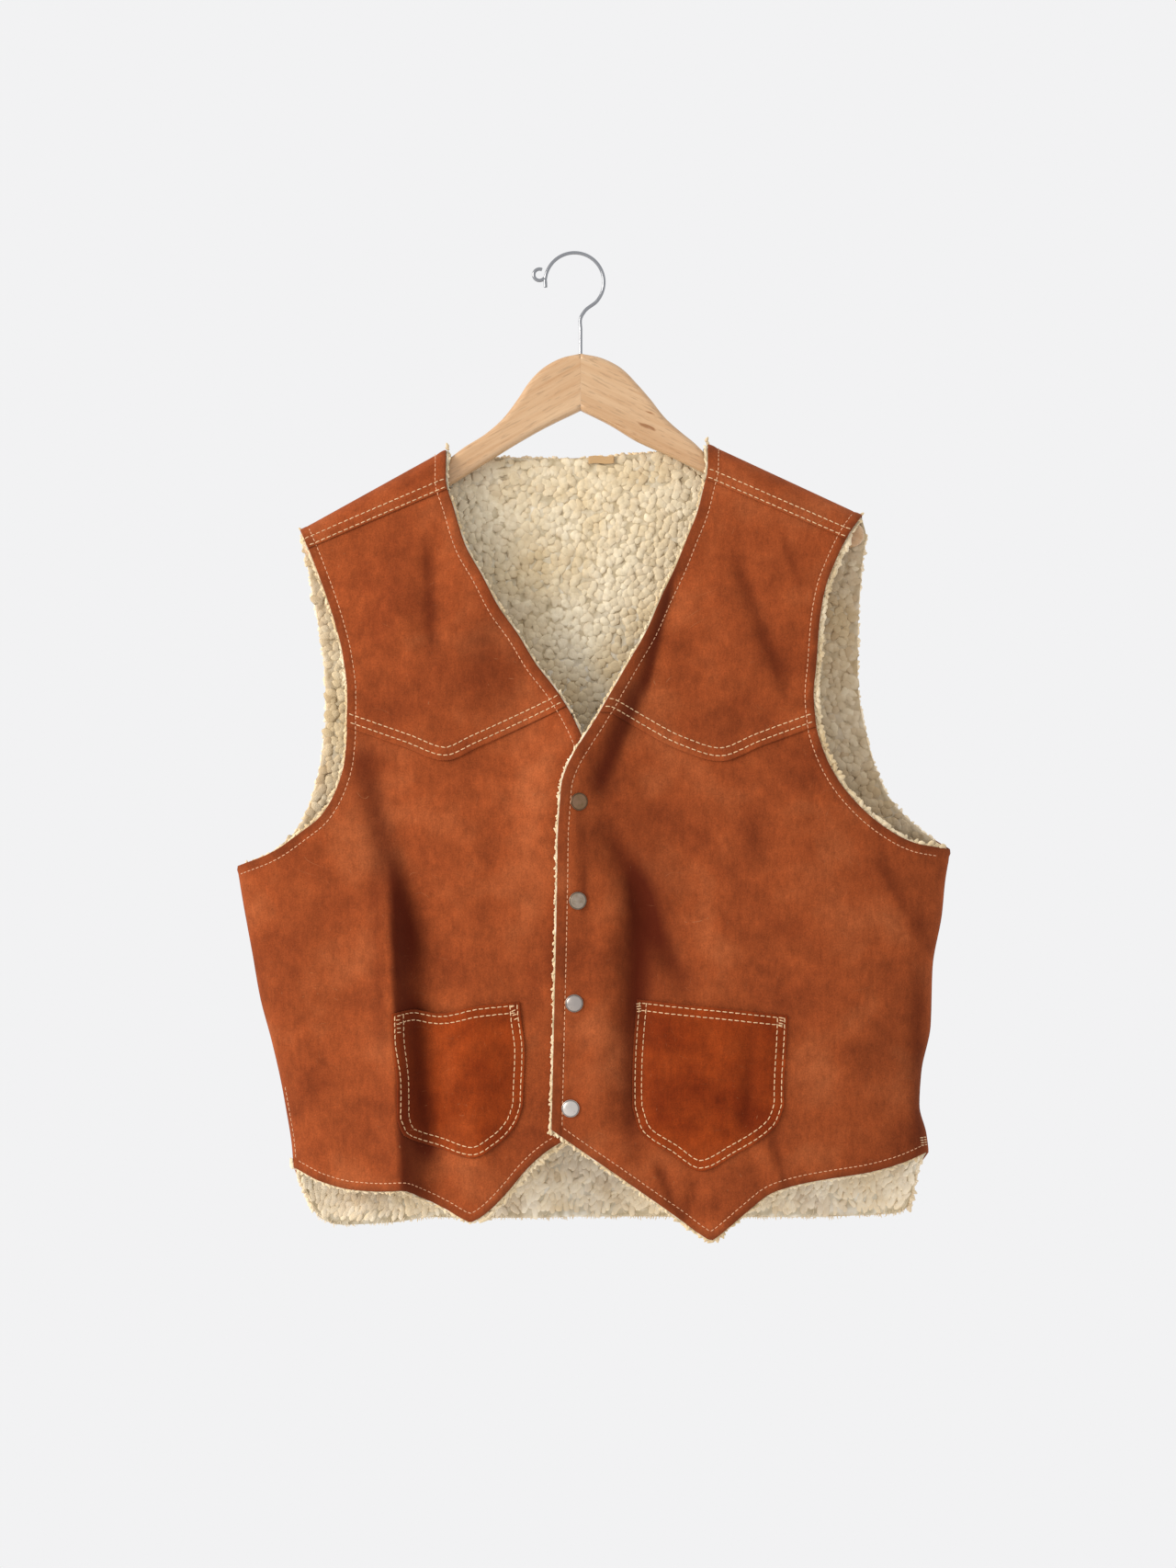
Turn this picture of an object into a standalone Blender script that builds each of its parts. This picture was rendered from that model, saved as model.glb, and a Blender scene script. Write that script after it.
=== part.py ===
"""A western suede vest with a cream pile lining, snapped shut, on a wooden hanger.

The frame has its origin where the hook hangs, inside the top of its bend. +X runs to the
right of someone who faces the vest, +Y away from them and +Z up, so the wearer's right
front is at -X. Sizes are in millimetres until a mesh is made, which is in metres.

Every panel is a patch of one of two surfaces, the front and the back. Each surface is a
depth y over a place (x, down), where down is the drop below the hook. The suede's outer
face lies on the surface, and each further layer is made from the same points, moved in or
out along the surface's normal.
"""
import math

import bmesh
import bpy
import numpy as np
from mathutils import Matrix, Vector
from mathutils.bvhtree import BVHTree

MM = 0.001

# Thicknesses, and the gap kept between pieces
SUEDE = 1.3
PILE_LINING = 5.0
PRESSED_LINING = 3.0
GAP = 0.3
LAP_STEP = SUEDE + GAP

# The vest is measured as it looks from straight in front, from this far away.
EYE_X = 10.3
EYE_DOWN = 423.4
EYE_DISTANCE = 2200.0

# How the vest hangs: depth in front of and behind the hanger's middle plane
SHOULDER_RADIUS = 15.0
FRONT_FILL = dict(below=(0, 27, 60, 120, 200, 300, 450, 650), depth=(0, 2, 6, 14, 22, 29, 35, 38))
BACK_FILL = dict(below=(0, 60, 200, 400, 650), depth=(0, 1, 4, 7, 9))
SIDE_SEAM_DEPTH = -8.0
SIDE_SETTLES_OVER = (20.0, 160.0)
FRONT_ROUNDS_OVER = 180.0
BACK_ROUNDS_OVER = 90.0
SHOULDER_REACH = 285.0
REACH_NARROWS_OVER = 270.0
SEAM_ROUNDNESS = 0.2

# Outlines, as seen from the front. A table of an upright edge gives x at each drop, and a
# table of a cross line gives the drop at each x.
OUTLINE = {
    "right": dict(
        ridge=dict(x=(-220.0, -103.5), down=(220.5, 156.0)),
        seam=dict(x=(-214.5, -103.5), down=(235.5, 188.0)),
        yoke=dict(x=(-183, -137, -104, -77, -15, -4), down=(378, 394, 405, 394, 365.5, 360)),
        underarm=dict(x=(-270.5, 15.0), down=(489.0, 500.0)),
        pocket_top=dict(x=(-146, -129.5, -106, -78, -43.5), down=(607, 603.5, 606.5, 601, 597.5)),
        pocket_foot=dict(x=(-143, -137, -110, -82, -62, -47, -41),
                         down=(690, 705, 714, 722.5, 712, 696, 680)),
        hem=dict(x=(-225.5, -203.5, -178.5, -154, -137.5, -123, -103.5, -89,
                    -84, -79, -69, -52, -40, -25, -11, 15),
                 down=(730, 741.5, 748, 749.5, 749, 754, 763.5, 772,
                       774, 772, 765, 747.5, 733, 719, 710, 699)),
        neck_edge=dict(down=(156, 179, 203, 232, 257, 282, 304, 327, 347, 365, 383, 405, 430, 470,
                             560, 700),
                       x=(-103.5, -103.5, -97, -88, -74, -61, -45.5, -31.5, -16, -4.5, 4.5, 13, 17.5,
                          18.5, 17, 15)),
        armhole=dict(down=(220.5, 234, 257, 289, 320.5, 351, 374, 403.5, 425.5, 448, 464, 478, 489),
                     x=(-220, -214, -205, -194, -186, -182.5, -182.5, -184.5, -190.5, -203, -222.5,
                        -243, -270.5)),
        side=dict(down=(489, 519, 560, 594, 628, 658, 682, 714, 728.5),
                  x=(-270.5, -265.5, -258, -252, -243, -236, -231.5, -226.5, -225.5)),
        back_armhole=dict(down=(220.5, 233, 246, 275, 298, 329, 363, 392, 414, 439, 461, 478, 489),
                          x=(-220, -216, -213, -207.5, -203, -199, -197.5, -200, -203, -210, -222,
                             -243, -270.5)),
        back_tail=dict(down=(728.5, 742, 757, 775), x=(-225.5, -220.5, -213.5, -206)),
    ),
    "left": dict(
        ridge=dict(x=(106.5, 229.5), down=(151.5, 208.5)),
        seam=dict(x=(106.0, 217.0), down=(180.0, 228.0)),
        yoke=dict(x=(28, 48.5, 82.5, 116, 150, 191), down=(366, 378, 396, 405.5, 393, 378)),
        underarm=dict(x=(-12.0, 300.5), down=(500.0, 475.5)),
        pocket_top=dict(x=(50.5, 170.5), down=(595.5, 608.5)),
        pocket_foot=dict(x=(45.5, 52, 76, 100, 130, 161, 168), down=(682, 702, 719, 733, 719, 697, 680)),
        hem=dict(x=(-19, 6, 31.5, 56.5, 82.5, 102, 109, 116, 137.5, 158, 183, 208.5, 233.5, 259.5, 283),
                 down=(700, 717.5, 735, 752.5, 770.5, 785, 788.5, 784, 766, 750.5, 743, 738.5, 734.5,
                       727.5, 717.5)),
        neck_edge=dict(down=(151.5, 172, 183, 205, 228, 250.5, 275, 300, 327, 351, 374, 387, 408, 423.5,
                             441.5, 464.5, 502, 616, 700),
                       x=(106.5, 106, 103.5, 98, 89, 80, 68.5, 57.5, 42, 28, 14.5, 6, -6, -11,
                          -12.5, -14, -14.5, -17, -19)),
        armhole=dict(down=(208.5, 223.5, 246, 268, 295.5, 329, 351, 374, 397, 419, 441.5, 459.5, 471, 475.5),
                     x=(229.5, 219, 208, 200, 195.5, 193, 191, 192.5, 199, 210, 228.5, 250.5, 273.5, 300.5)),
        side=dict(down=(475.5, 502, 527.5, 570.5, 616, 654, 680, 702.5, 717.5),
                  x=(300.5, 296, 293.5, 286, 284.5, 277, 275.5, 281, 283)),
        back_armhole=dict(down=(208.5, 223, 239, 262, 306.5, 340, 374, 408, 433, 453, 464.5, 475.5),
                          x=(229.5, 231, 229, 226.5, 224.5, 224.5, 229, 238, 249, 267, 282.5, 300.5)),
        back_tail=dict(down=(717.5, 730, 745, 775), x=(283, 275, 271.5, 266)),
    ),
}
BACK_NECK = dict(x=(-103.5, -102.8, -101.3, -97, -84, -62.5, -15, 41, 62.5, 86, 100.5, 104.6, 105.9,
                    106.5),
                 down=(156, 157.3, 161, 167, 166.5, 162.5, 163.2, 160.5, 158.5, 162.5, 163, 156.5, 152.7,
                       151.5))
BACK_SHOULDER_LINE = dict(x=(-220, -103.5, 106.5, 229.5), down=(247.5, 183, 178.5, 235.5))
BACK_UNDERARM = dict(x=(-270.5, 300.5), down=(489.0, 475.5))
BACK_HEM = dict(x=(-225, -213.5, -205, -190, -147, -113, -40, 57, 158, 234, 258, 266, 272),
                down=(745, 758, 768, 773.5, 772, 768, 768, 767, 768, 766, 764.5, 760, 745))

# Soft folds: each runs between two places, as wide as given to either side, and lifts the
# cloth towards the viewer (or sinks it, where the lift is negative).
FOLD_COLUMNS = ("x0", "down0", "x1", "down1", "width", "lift")
FOLD_RISES_BY = 0.3
FOLD_FALLS_OVER = (0.85, 1.1)
FRONT_FOLDS = (
    (-158, 400, -139, 500, 17, -4.5),
    (-138, 505, -123, 790, 17, -12.0),
    (-152, 520, -143, 790, 13, 6.5),
    (-92, 600, -88, 790, 24, 3.0),
    (-118, 225, -116, 315, 14, -3.0),
    (-146, 262, -145, 315, 14, 2.5),
    (-215, 500, -222, 700, 22, 2.5),
    (12, 450, 72, 575, 18, -5.0),
    (34, 540, 46, 690, 17, -6.0),
    (122, 225, 172, 350, 18, -2.5),
    (262, 590, 266, 690, 16, -4.0),
    (215, 520, 224, 700, 26, 3.0),
    (118, 700, 116, 800, 16, 2.5),
)
BACK_FOLDS_START = (40.0, 200.0)
BACK_FOLDS = (
    (-130, 330, -118, 790, 30, 5.0),
    (-66, 420, -74, 790, 26, -4.0),
    (20, 300, 12, 790, 34, 4.0),
    (92, 430, 96, 790, 26, -4.5),
    (168, 340, 158, 790, 30, 5.0),
    (-176, 560, -170, 790, 18, -3.0),
)
# The lapping edge stands forward of the cloth beside it
EDGE_ROLL = dict(down=(156, 240, 320, 390, 437, 500, 600, 710), lift=(0, 2, 7, 12, 13, 7, 3.5, 2))
EDGE_ROLL_WIDTH = 32.0
# The right front passes under the left one
UNDERLAP_STEP = SUEDE + GAP + PRESSED_LINING + GAP + 1.1
UNDERLAP_FADES = (-110.0, -28.0)
UNDERLAP_STARTS = (250.0, 350.0)

# Where the panels have points: columns run from the centre edge (0) to the outer edge (1),
# and rows are counted in cross lines, with parts of the way to the next line
ROW_LINES = ("ridge", "seam", "yoke", "underarm", "pocket_top", "pocket_foot", "hem")
POCKET_TOP_ROW = ROW_LINES.index("pocket_top")
POCKET_FOOT_ROW = ROW_LINES.index("pocket_foot")
TIP_COLUMN = {"right": 0.405, "left": 0.422}
STRAP_ROWS = (0, 0.06, 0.19, 0.40, 0.62, 1)
YOKE_ROWS = (1.15, 1.3, 1.45, 1.6, 1.77, 1.93, 2)
LOWER_ROWS = (2.25, 2.5, 2.75, 2.88, 3, 3.25, 3.5, 3.75, 4, 4.25, 4.5, 4.75, 5, 5.5, 6)
STRAP_LAP = 0.62
YOKE_LAP = 1.93
LINING_STARTS = 1.02
PRESSED_COLUMNS = (0.13, 0.29)
POCKET_COLUMNS = (0.225, 0.62)
BACK_ROWS = (0, 0.06, 0.19, 0.40, 1, 1.25, 1.5, 1.7, 1.84, 1.93, 2, 2.25, 2.5, 2.75, 3)
NECK_COLUMNS = (-102.8, -101.3, -97, -84, -58, -20, 16, 58, 86, 100.5, 104.6, 105.9)
GRID_GUESS = 400.0
GRID_ROUNDS = 40

# Trim
SNAP_PLACES = dict(x=(3.0, 2.0, -0.7, -3.7), down=(437.5, 516.7, 598.7, 682.8))
SNAP_RADIUS = 7.0
SNAP_HEIGHT = 3.2
SNAP_PROFILE = dict(radius=(0, 0.45, 0.8, 1, 1, 0), height=(1, 0.9, 0.6, 0.2, 0, 0))
SNAP_STEPS = 16
POCKET_SWELL = 2.0
TAB_SIZE = (20.5, 0.8, 6.0)
TAB_PLACE = dict(x=21.0, down=166.5)
SEAT_POINTS = 12
SEAT_SEARCH = 30.0

# Hanger
HANGER_THICKNESS = 12.0
HANGER_ROUNDING = 4.5
HANGER_BELOW_RIDGE = 7.7
HANGER_JOINT_X = 4.4
ARM_SETTLES_BEFORE = 3.5
ARM_HEIGHT_AT_END = 20.0
ARM_END_X = {"right": -217.0, "left": 231.0}
ARM_CROWN = {
    "right": dict(x=(4.4, -11, -25.7, -36.8, -45.6, -58, -71.3, -90),
                  down=(79.4, 83, 91, 102.2, 115.4, 131.6, 143.3, 155.2)),
    "left": dict(x=(4.4, 21.3, 36.8, 49.2, 60.3, 71.3, 86, 95),
                 down=(79.4, 83, 91, 103.3, 116, 130, 143.3, 150.5)),
}
ARM_UNDERSIDE = {
    "right": dict(x=(4.4, -25.7, -50, -71.3, -97), down=(125, 139.7, 153.6, 166.8, 183)),
    "left": dict(x=(4.4, 27.9, 49.2, 71.3, 101.4), down=(125, 136.7, 149.6, 159.5, 174.2)),
}
WIRE_RADIUS = 1.4
STEM_SEAT = 24.0
HOOK_RADIUS = 23.5
HOOK_CENTRE_X = -0.5
HOOK_STEM = dict(x=(4.4, 4.4, 7.5), z=(-60, -51, -45.5))
HOOK_BEND_DEGREES = (-38, 199, 12)
CURL_CENTRE = (-28.5, -16.2)
CURL_RADIUS = 4.6
CURL_DEGREES = (-40, -300, -32)


def through(table_at, table_value, at):
    """Smooth curve through a table's points that never swings past them.

    A cubic on each interval, whose slope at a point is the harmonic mean of the slopes on
    its two sides, or level where they differ in sign. Past its ends it stays level."""
    known = np.array(table_at, float)
    value = np.array(table_value, float)
    step = np.diff(known)
    rise = np.diff(value) / step
    slope = np.concatenate(([rise[0]], np.zeros(len(rise) - 1), [rise[-1]]))
    same_way = rise[:-1] * rise[1:] > 0
    total = np.where(same_way, rise[:-1] + rise[1:], 1.0)
    slope[1:-1] = np.where(same_way, 2 * rise[:-1] * rise[1:] / total, 0.0)
    inside = np.clip(at, known[0], known[-1])
    cell = np.clip(np.searchsorted(known, inside, side="right") - 1, 0, len(step) - 1)
    part = (inside - known[cell]) / step[cell]
    start = (1 + 2 * part) * (1 - part) ** 2 * value[cell]
    end = part ** 2 * (3 - 2 * part) * value[cell + 1]
    leave = part * (1 - part) ** 2 * step[cell] * slope[cell]
    arrive = part ** 2 * (part - 1) * step[cell] * slope[cell + 1]
    return start + end + leave + arrive


def soft_step(value, low, high):
    """0 below low, 1 above high, with a smooth rise between."""
    part = np.clip((value - low) / (high - low), 0, 1)
    return part ** 2 * (3 - 2 * part)


def ridge_slope(side):
    """Drop of the shoulder line for each millimetre towards +X."""
    line = OUTLINE[side]["ridge"]
    return (line["down"][1] - line["down"][0]) / (line["x"][1] - line["x"][0])


def ridge_drop(x):
    """Drop of the shoulder line over x: two straight slopes that go on past their ends."""
    drops = [OUTLINE[side]["ridge"]["down"][0] + ridge_slope(side) * (x - OUTLINE[side]["ridge"]["x"][0])
             for side in ("right", "left")]
    return np.where(x < 0, drops[0], drops[1])


def cross_line(table, x):
    """Drop of a cross line over x."""
    return through(table["x"], table["down"], x)


def upright_edge(table, down):
    """x of an upright edge at a drop."""
    return through(table["down"], table["x"], down)


def outer_edge(side, down):
    """x of a front's outer edge: its armhole, then its side seam."""
    outline = OUTLINE[side]
    underarm = outline["side"]["down"][0]
    return np.where(down < underarm, upright_edge(outline["armhole"], down),
                    upright_edge(outline["side"], down))


def back_edge(side, down):
    """x of the back's outer edge: its armhole, the side seam and the longer tail below it."""
    outline = OUTLINE[side]
    seam = outer_edge(side, down)
    armhole = upright_edge(outline["back_armhole"], down)
    tail = upright_edge(outline["back_tail"], down)
    edge = np.where(down < outline["side"]["down"][0], armhole, seam)
    return np.where(down > outline["side"]["down"][-1], tail, edge)


def side_reach(x, down):
    """Distance from x out to the side of the hanging tube, which runs straight up past the
    armholes to SHOULDER_REACH."""
    reach = []
    for side in ("right", "left"):
        seam = OUTLINE[side]["side"]
        past = np.interp(down, (seam["down"][0] - REACH_NARROWS_OVER, seam["down"][0]),
                         (SHOULDER_REACH, abs(seam["x"][0])))
        reach.append(np.where(down < seam["down"][0], past, np.abs(upright_edge(seam, down))))
    return np.maximum(np.where(x < 0, reach[0], reach[1]) - np.abs(x), 0)


def fold_lift(folds, x, down):
    """Sum of the folds: each a bell across its line that fades towards both ends."""
    lift = np.zeros(np.shape(x))
    for row in folds:
        fold = dict(zip(FOLD_COLUMNS, row))
        run_x = fold["x1"] - fold["x0"]
        run_down = fold["down1"] - fold["down0"]
        length = math.hypot(run_x, run_down)
        along = ((x - fold["x0"]) * run_x + (down - fold["down0"]) * run_down) / length
        across = ((x - fold["x0"]) * run_down - (down - fold["down0"]) * run_x) / length
        share = along / length
        ends = soft_step(share, 0, FOLD_RISES_BY) * (1 - soft_step(share, *FOLD_FALLS_OVER))
        lift = lift + fold["lift"] * ends * np.exp(-(across / fold["width"]) ** 2)
    return lift


def hanging_depth(x, down, fill, rounds_over):
    """Depth of the tube's wall away from y = 0: a quarter circle over the shoulder, then the
    slow fill below it, drawn in towards the side seams along a quarter ellipse."""
    below = np.maximum(down - ridge_drop(x), 0)
    unturned = np.maximum(SHOULDER_RADIUS - below, 0)
    over_shoulder = np.sqrt(SHOULDER_RADIUS ** 2 - unturned ** 2)
    depth = over_shoulder + through(fill["below"], fill["depth"], below)
    inward = np.clip(side_reach(x, down) / rounds_over, 0, 1)
    ellipse = np.sqrt(1 - (1 - inward) ** 2)
    settled = soft_step(below, *SIDE_SETTLES_OVER)
    return depth, 1 + (ellipse - 1) * settled, SIDE_SEAM_DEPTH * settled


def front_depth(side, x, down):
    """y of the front surface; the right front steps back where it passes under the left."""
    depth, roundness, seam = hanging_depth(x, down, FRONT_FILL, FRONT_ROUNDS_OVER)
    edge = upright_edge(OUTLINE["left"]["neck_edge"], down)
    roll = through(EDGE_ROLL["down"], EDGE_ROLL["lift"], down)
    roll = roll * np.exp(-((x - edge) / EDGE_ROLL_WIDTH) ** 2)
    lifted = roll + fold_lift(FRONT_FOLDS, x, down)
    y = seam - (depth + seam + lifted) * roundness
    if side == "right":
        y = y + UNDERLAP_STEP * soft_step(x, *UNDERLAP_FADES) * soft_step(down, *UNDERLAP_STARTS)
    return y - GAP / 2 * (roundness < SEAM_ROUNDNESS)


def back_depth(side, x, down):
    """y of the back surface."""
    depth, roundness, seam = hanging_depth(x, down, BACK_FILL, BACK_ROUNDS_OVER)
    below = down - ridge_drop(x)
    lifted = fold_lift(BACK_FOLDS, x, down) * soft_step(below, *BACK_FOLDS_START)
    y = seam + (depth - seam + lifted) * roundness
    return y + GAP / 2 * (roundness < SEAM_ROUNDNESS)


def surface(depth_of, side, x, down, facing):
    """Points and outward normals of a surface y(x, down); facing is -1 for the front and 1
    for the back. A point y deep that covers (x, down) from the eye lies nearer the line of
    sight by y over the eye's distance."""
    y = depth_of(side, x, down)
    nudge = 1e-4
    slope_x = (depth_of(side, x + nudge, down) - depth_of(side, x - nudge, down)) / (2 * nudge)
    slope_down = (depth_of(side, x, down + nudge) - depth_of(side, x, down - nudge)) / (2 * nudge)
    normal = np.stack((-slope_x, np.ones_like(y), slope_down), axis=-1) * facing
    normal /= np.linalg.norm(normal, axis=-1, keepdims=True)
    nearer = 1 + y / EYE_DISTANCE
    point = np.stack((EYE_X + (x - EYE_X) * nearer, y, -EYE_DOWN - (down - EYE_DOWN) * nearer), axis=-1)
    return point, normal


def between_lines(drops, row):
    """Drop at a row counted in cross lines, part of the way from one line to the next."""
    line = np.minimum(row.astype(int), len(drops) - 2)
    which = np.broadcast_to(line, drops.shape[1:])[None]
    above = np.take_along_axis(drops, which, 0)[0]
    under = np.take_along_axis(drops, which + 1, 0)[0]
    return above + (row - line) * (under - above)


def front_grid(side, columns, rows):
    """Grid of a front between its edges: each row lies between two cross lines, and each
    column is a share of the way from the centre edge to the outer edge. Rows and columns
    lean on each other, so the drops are worked out by rounds that halve what is left."""
    outline = OUTLINE[side]
    share = np.array(columns, float)[None, :]
    row = np.array(rows, float)[:, None]
    down = np.full((row.size, share.size), GRID_GUESS)
    for _ in range(GRID_ROUNDS):
        inner = upright_edge(outline["neck_edge"], down)
        x = inner + share * (outer_edge(side, down) - inner)
        drops = [ridge_drop(x)] + [cross_line(outline[name], x) for name in ROW_LINES[1:]]
        down = 0.5 * down + 0.5 * between_lines(np.stack(drops), row)
    return x, down


def front_columns(side):
    return (0, 0.06, 0.13, POCKET_COLUMNS[0], 0.29, 0.35, TIP_COLUMN[side], 0.465, 0.525, 0.585,
            POCKET_COLUMNS[1], 0.70, 0.78, 0.87, 0.95, 1)


def wall(name, point, normal, outward, thickness, material, keep=None):
    """Closed wall over a grid of points: its outer face is moved outward along the normals
    and its inner face lies a thickness behind it. keep marks the cells that are cloth."""
    rows, columns = point.shape[:2]
    if keep is None:
        keep = np.ones((rows - 1, columns - 1), bool)
    outward = np.broadcast_to(outward, (rows, columns))[..., None]
    thickness = np.broadcast_to(thickness, (rows, columns))[..., None]
    outer = (point + normal * outward).reshape(-1, 3) * MM
    inner = (point + normal * (outward - thickness)).reshape(-1, 3) * MM
    count = rows * columns
    faces = []
    rim = {}
    for i, j in zip(*np.nonzero(keep)):
        corner = [i * columns + j, i * columns + j + 1, (i + 1) * columns + j + 1, (i + 1) * columns + j]
        for a, b, c in ((0, 1, 2), (0, 2, 3)):
            faces.append((corner[a], corner[b], corner[c]))
            faces.append((corner[c] + count, corner[b] + count, corner[a] + count))
        for a, b in ((0, 1), (1, 2), (2, 3), (3, 0)):
            edge = (corner[a], corner[b])
            if edge[::-1] in rim:
                del rim[edge[::-1]]
            else:
                rim[edge] = True
    for a, b in rim:
        faces.append((b, a, a + count))
        faces.append((b, a + count, b + count))
    mesh = bpy.data.meshes.new(name)
    mesh.from_pydata(np.concatenate((outer, inner)).tolist(), [], faces)
    shape = bmesh.new()
    shape.from_mesh(mesh)
    bmesh.ops.delete(shape, geom=[v for v in shape.verts if not v.link_faces], context="VERTS")
    bmesh.ops.recalc_face_normals(shape, faces=shape.faces[:])
    shape.to_mesh(mesh)
    shape.free()
    return add_object(name, mesh, material)


def add_object(name, mesh, material):
    """Put a mesh in the vest's collection, with its material and smooth shading."""
    mesh.materials.clear()
    mesh.materials.append(material)
    mesh.shade_smooth()
    mesh.set_sharp_from_angle(angle=math.radians(35))
    thing = bpy.data.objects.new(name, mesh)
    vest.objects.link(thing)
    return thing


def make_material(name, colour, roughness, metallic=0.0):
    material = bpy.data.materials.new(name)
    material.use_nodes = True
    material.diffuse_color = (*colour, 1)
    shader = material.node_tree.nodes["Principled BSDF"]
    shader.inputs["Base Color"].default_value = (*colour, 1)
    shader.inputs["Roughness"].default_value = roughness
    shader.inputs["Metallic"].default_value = metallic
    return material


def lining_thickness(columns, rows):
    """The pile is pressed thin along the centre edge, where the two fronts lap."""
    loose = soft_step(np.array(columns), *PRESSED_COLUMNS)
    return np.tile(PRESSED_LINING + (PILE_LINING - PRESSED_LINING) * loose, (len(rows), 1))


def make_front(side):
    """Yoke, lower front, pocket and lining of one side, all from the same grid."""
    columns = front_columns(side)

    yoke_rows = (STRAP_LAP, 1) + YOKE_ROWS
    point, normal = surface(front_depth, side, *front_grid(side, columns, yoke_rows), -1)
    lapped = LAP_STEP * (np.array(yoke_rows) >= YOKE_LAP)[:, None]
    wall("yoke_" + side, point, normal, lapped, SUEDE, suede)

    front_rows = YOKE_ROWS[-2:] + LOWER_ROWS
    point, normal = surface(front_depth, side, *front_grid(side, columns, front_rows), -1)
    front = wall("front_" + side, point, normal, 0, SUEDE, suede)

    lining_rows = (LINING_STARTS,) + YOKE_ROWS + LOWER_ROWS
    lining_point, lining_normal = surface(front_depth, side, *front_grid(side, columns, lining_rows), -1)
    wall("lining_front_" + side, lining_point, lining_normal, -SUEDE - GAP,
         lining_thickness(columns, lining_rows), pile)

    first_row = front_rows.index(POCKET_TOP_ROW)
    last_row = front_rows.index(POCKET_FOOT_ROW)
    first = columns.index(POCKET_COLUMNS[0])
    last = columns.index(POCKET_COLUMNS[1])
    block = np.s_[first_row:last_row + 1, first:last + 1]
    swell = np.zeros(point[block].shape[:2])
    swell[1:-1, 1:-1] = POCKET_SWELL
    swell[0, 1:-1] = POCKET_SWELL / 2
    wall("pocket_" + side, point[block], normal[block], GAP + SUEDE + swell, SUEDE, pocket_suede)
    return front


def make_back():
    """Back and its lining: one grid from seam to seam that runs up the back, over the
    shoulders and down to the forward shoulder seams, with the neck left out."""
    strap_rows = STRAP_ROWS[:0:-1]
    shoulder = {side: front_columns(side)[::2] + (1,) for side in ("right", "left")}
    straps = {side: front_grid(side, shoulder[side], strap_rows + (0,)) for side in shoulder}
    top_x = np.concatenate((straps["right"][0][-1][::-1], NECK_COLUMNS, straps["left"][0][-1]))
    tip_right = OUTLINE["right"]["ridge"]["x"][0]
    tip_left = OUTLINE["left"]["ridge"]["x"][1]
    share = ((top_x - tip_right) / (tip_left - tip_right))[None, :]
    row = np.array(BACK_ROWS, float)[:, None]
    down = np.full((row.size, share.size), GRID_GUESS)
    for _ in range(GRID_ROUNDS):
        right_edge = back_edge("right", down)
        left_edge = back_edge("left", down)
        x = right_edge + share * (left_edge - right_edge)
        in_neck = (x > BACK_NECK["x"][0]) & (x < BACK_NECK["x"][-1])
        drops = [np.where(in_neck, cross_line(BACK_NECK, x), ridge_drop(x))]
        drops += [cross_line(line, x) for line in (BACK_SHOULDER_LINE, BACK_UNDERARM, BACK_HEM)]
        down = 0.5 * down + 0.5 * between_lines(np.stack(drops), row)
    back_point, back_normal = surface(back_depth, "back", x, down, 1)

    strap_count = len(strap_rows)
    per_shoulder = len(shoulder["right"])
    point = np.zeros((strap_count + back_point.shape[0],) + back_point.shape[1:])
    normal = np.zeros_like(point)
    point[strap_count:] = back_point
    normal[strap_count:] = back_normal
    keep = np.ones((point.shape[0] - 1, point.shape[1] - 1), bool)
    keep[:strap_count, per_shoulder - 1:point.shape[1] - per_shoulder] = False
    places = {"right": np.s_[:per_shoulder], "left": np.s_[point.shape[1] - per_shoulder:]}
    for side in ("right", "left"):
        strap_point, strap_normal = surface(front_depth, side, *straps[side], -1)
        if side == "right":
            strap_point, strap_normal = strap_point[:, ::-1], strap_normal[:, ::-1]
        place = places[side]
        point[:strap_count, place] = strap_point[:-1]
        normal[:strap_count, place] = strap_normal[:-1]
        ridge_normal = strap_normal[-1] + normal[strap_count, place]
        normal[strap_count, place] = ridge_normal / np.linalg.norm(ridge_normal, axis=-1, keepdims=True)
    lap = np.zeros(point.shape[:2])
    lap[:strap_rows.index(STRAP_LAP) + 1] = LAP_STEP
    wall("back", point, normal, lap, SUEDE, suede, keep)
    return wall("lining_back", point, normal, -SUEDE - GAP, PILE_LINING, pile, keep)


def seat(support, place, normal, radius, lift):
    """Move a place along its normal until a disc there clears the piece under it by lift."""
    tree = BVHTree.FromObject(support, bpy.context.evaluated_depsgraph_get())
    across = normal.orthogonal().normalized()
    around = normal.cross(across)
    spots = [place + (math.cos(angle) * across + math.sin(angle) * around) * radius * MM
             for angle in np.linspace(0, 2 * math.pi, SEAT_POINTS, endpoint=False)]
    start = normal * SEAT_SEARCH * MM
    heights = []
    for spot in spots + [place]:
        hit = tree.ray_cast(spot + start, -normal)[0]
        if hit is not None:
            heights.append((hit - spot).dot(normal))
    return place + normal * (max(heights) + lift * MM)


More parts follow.
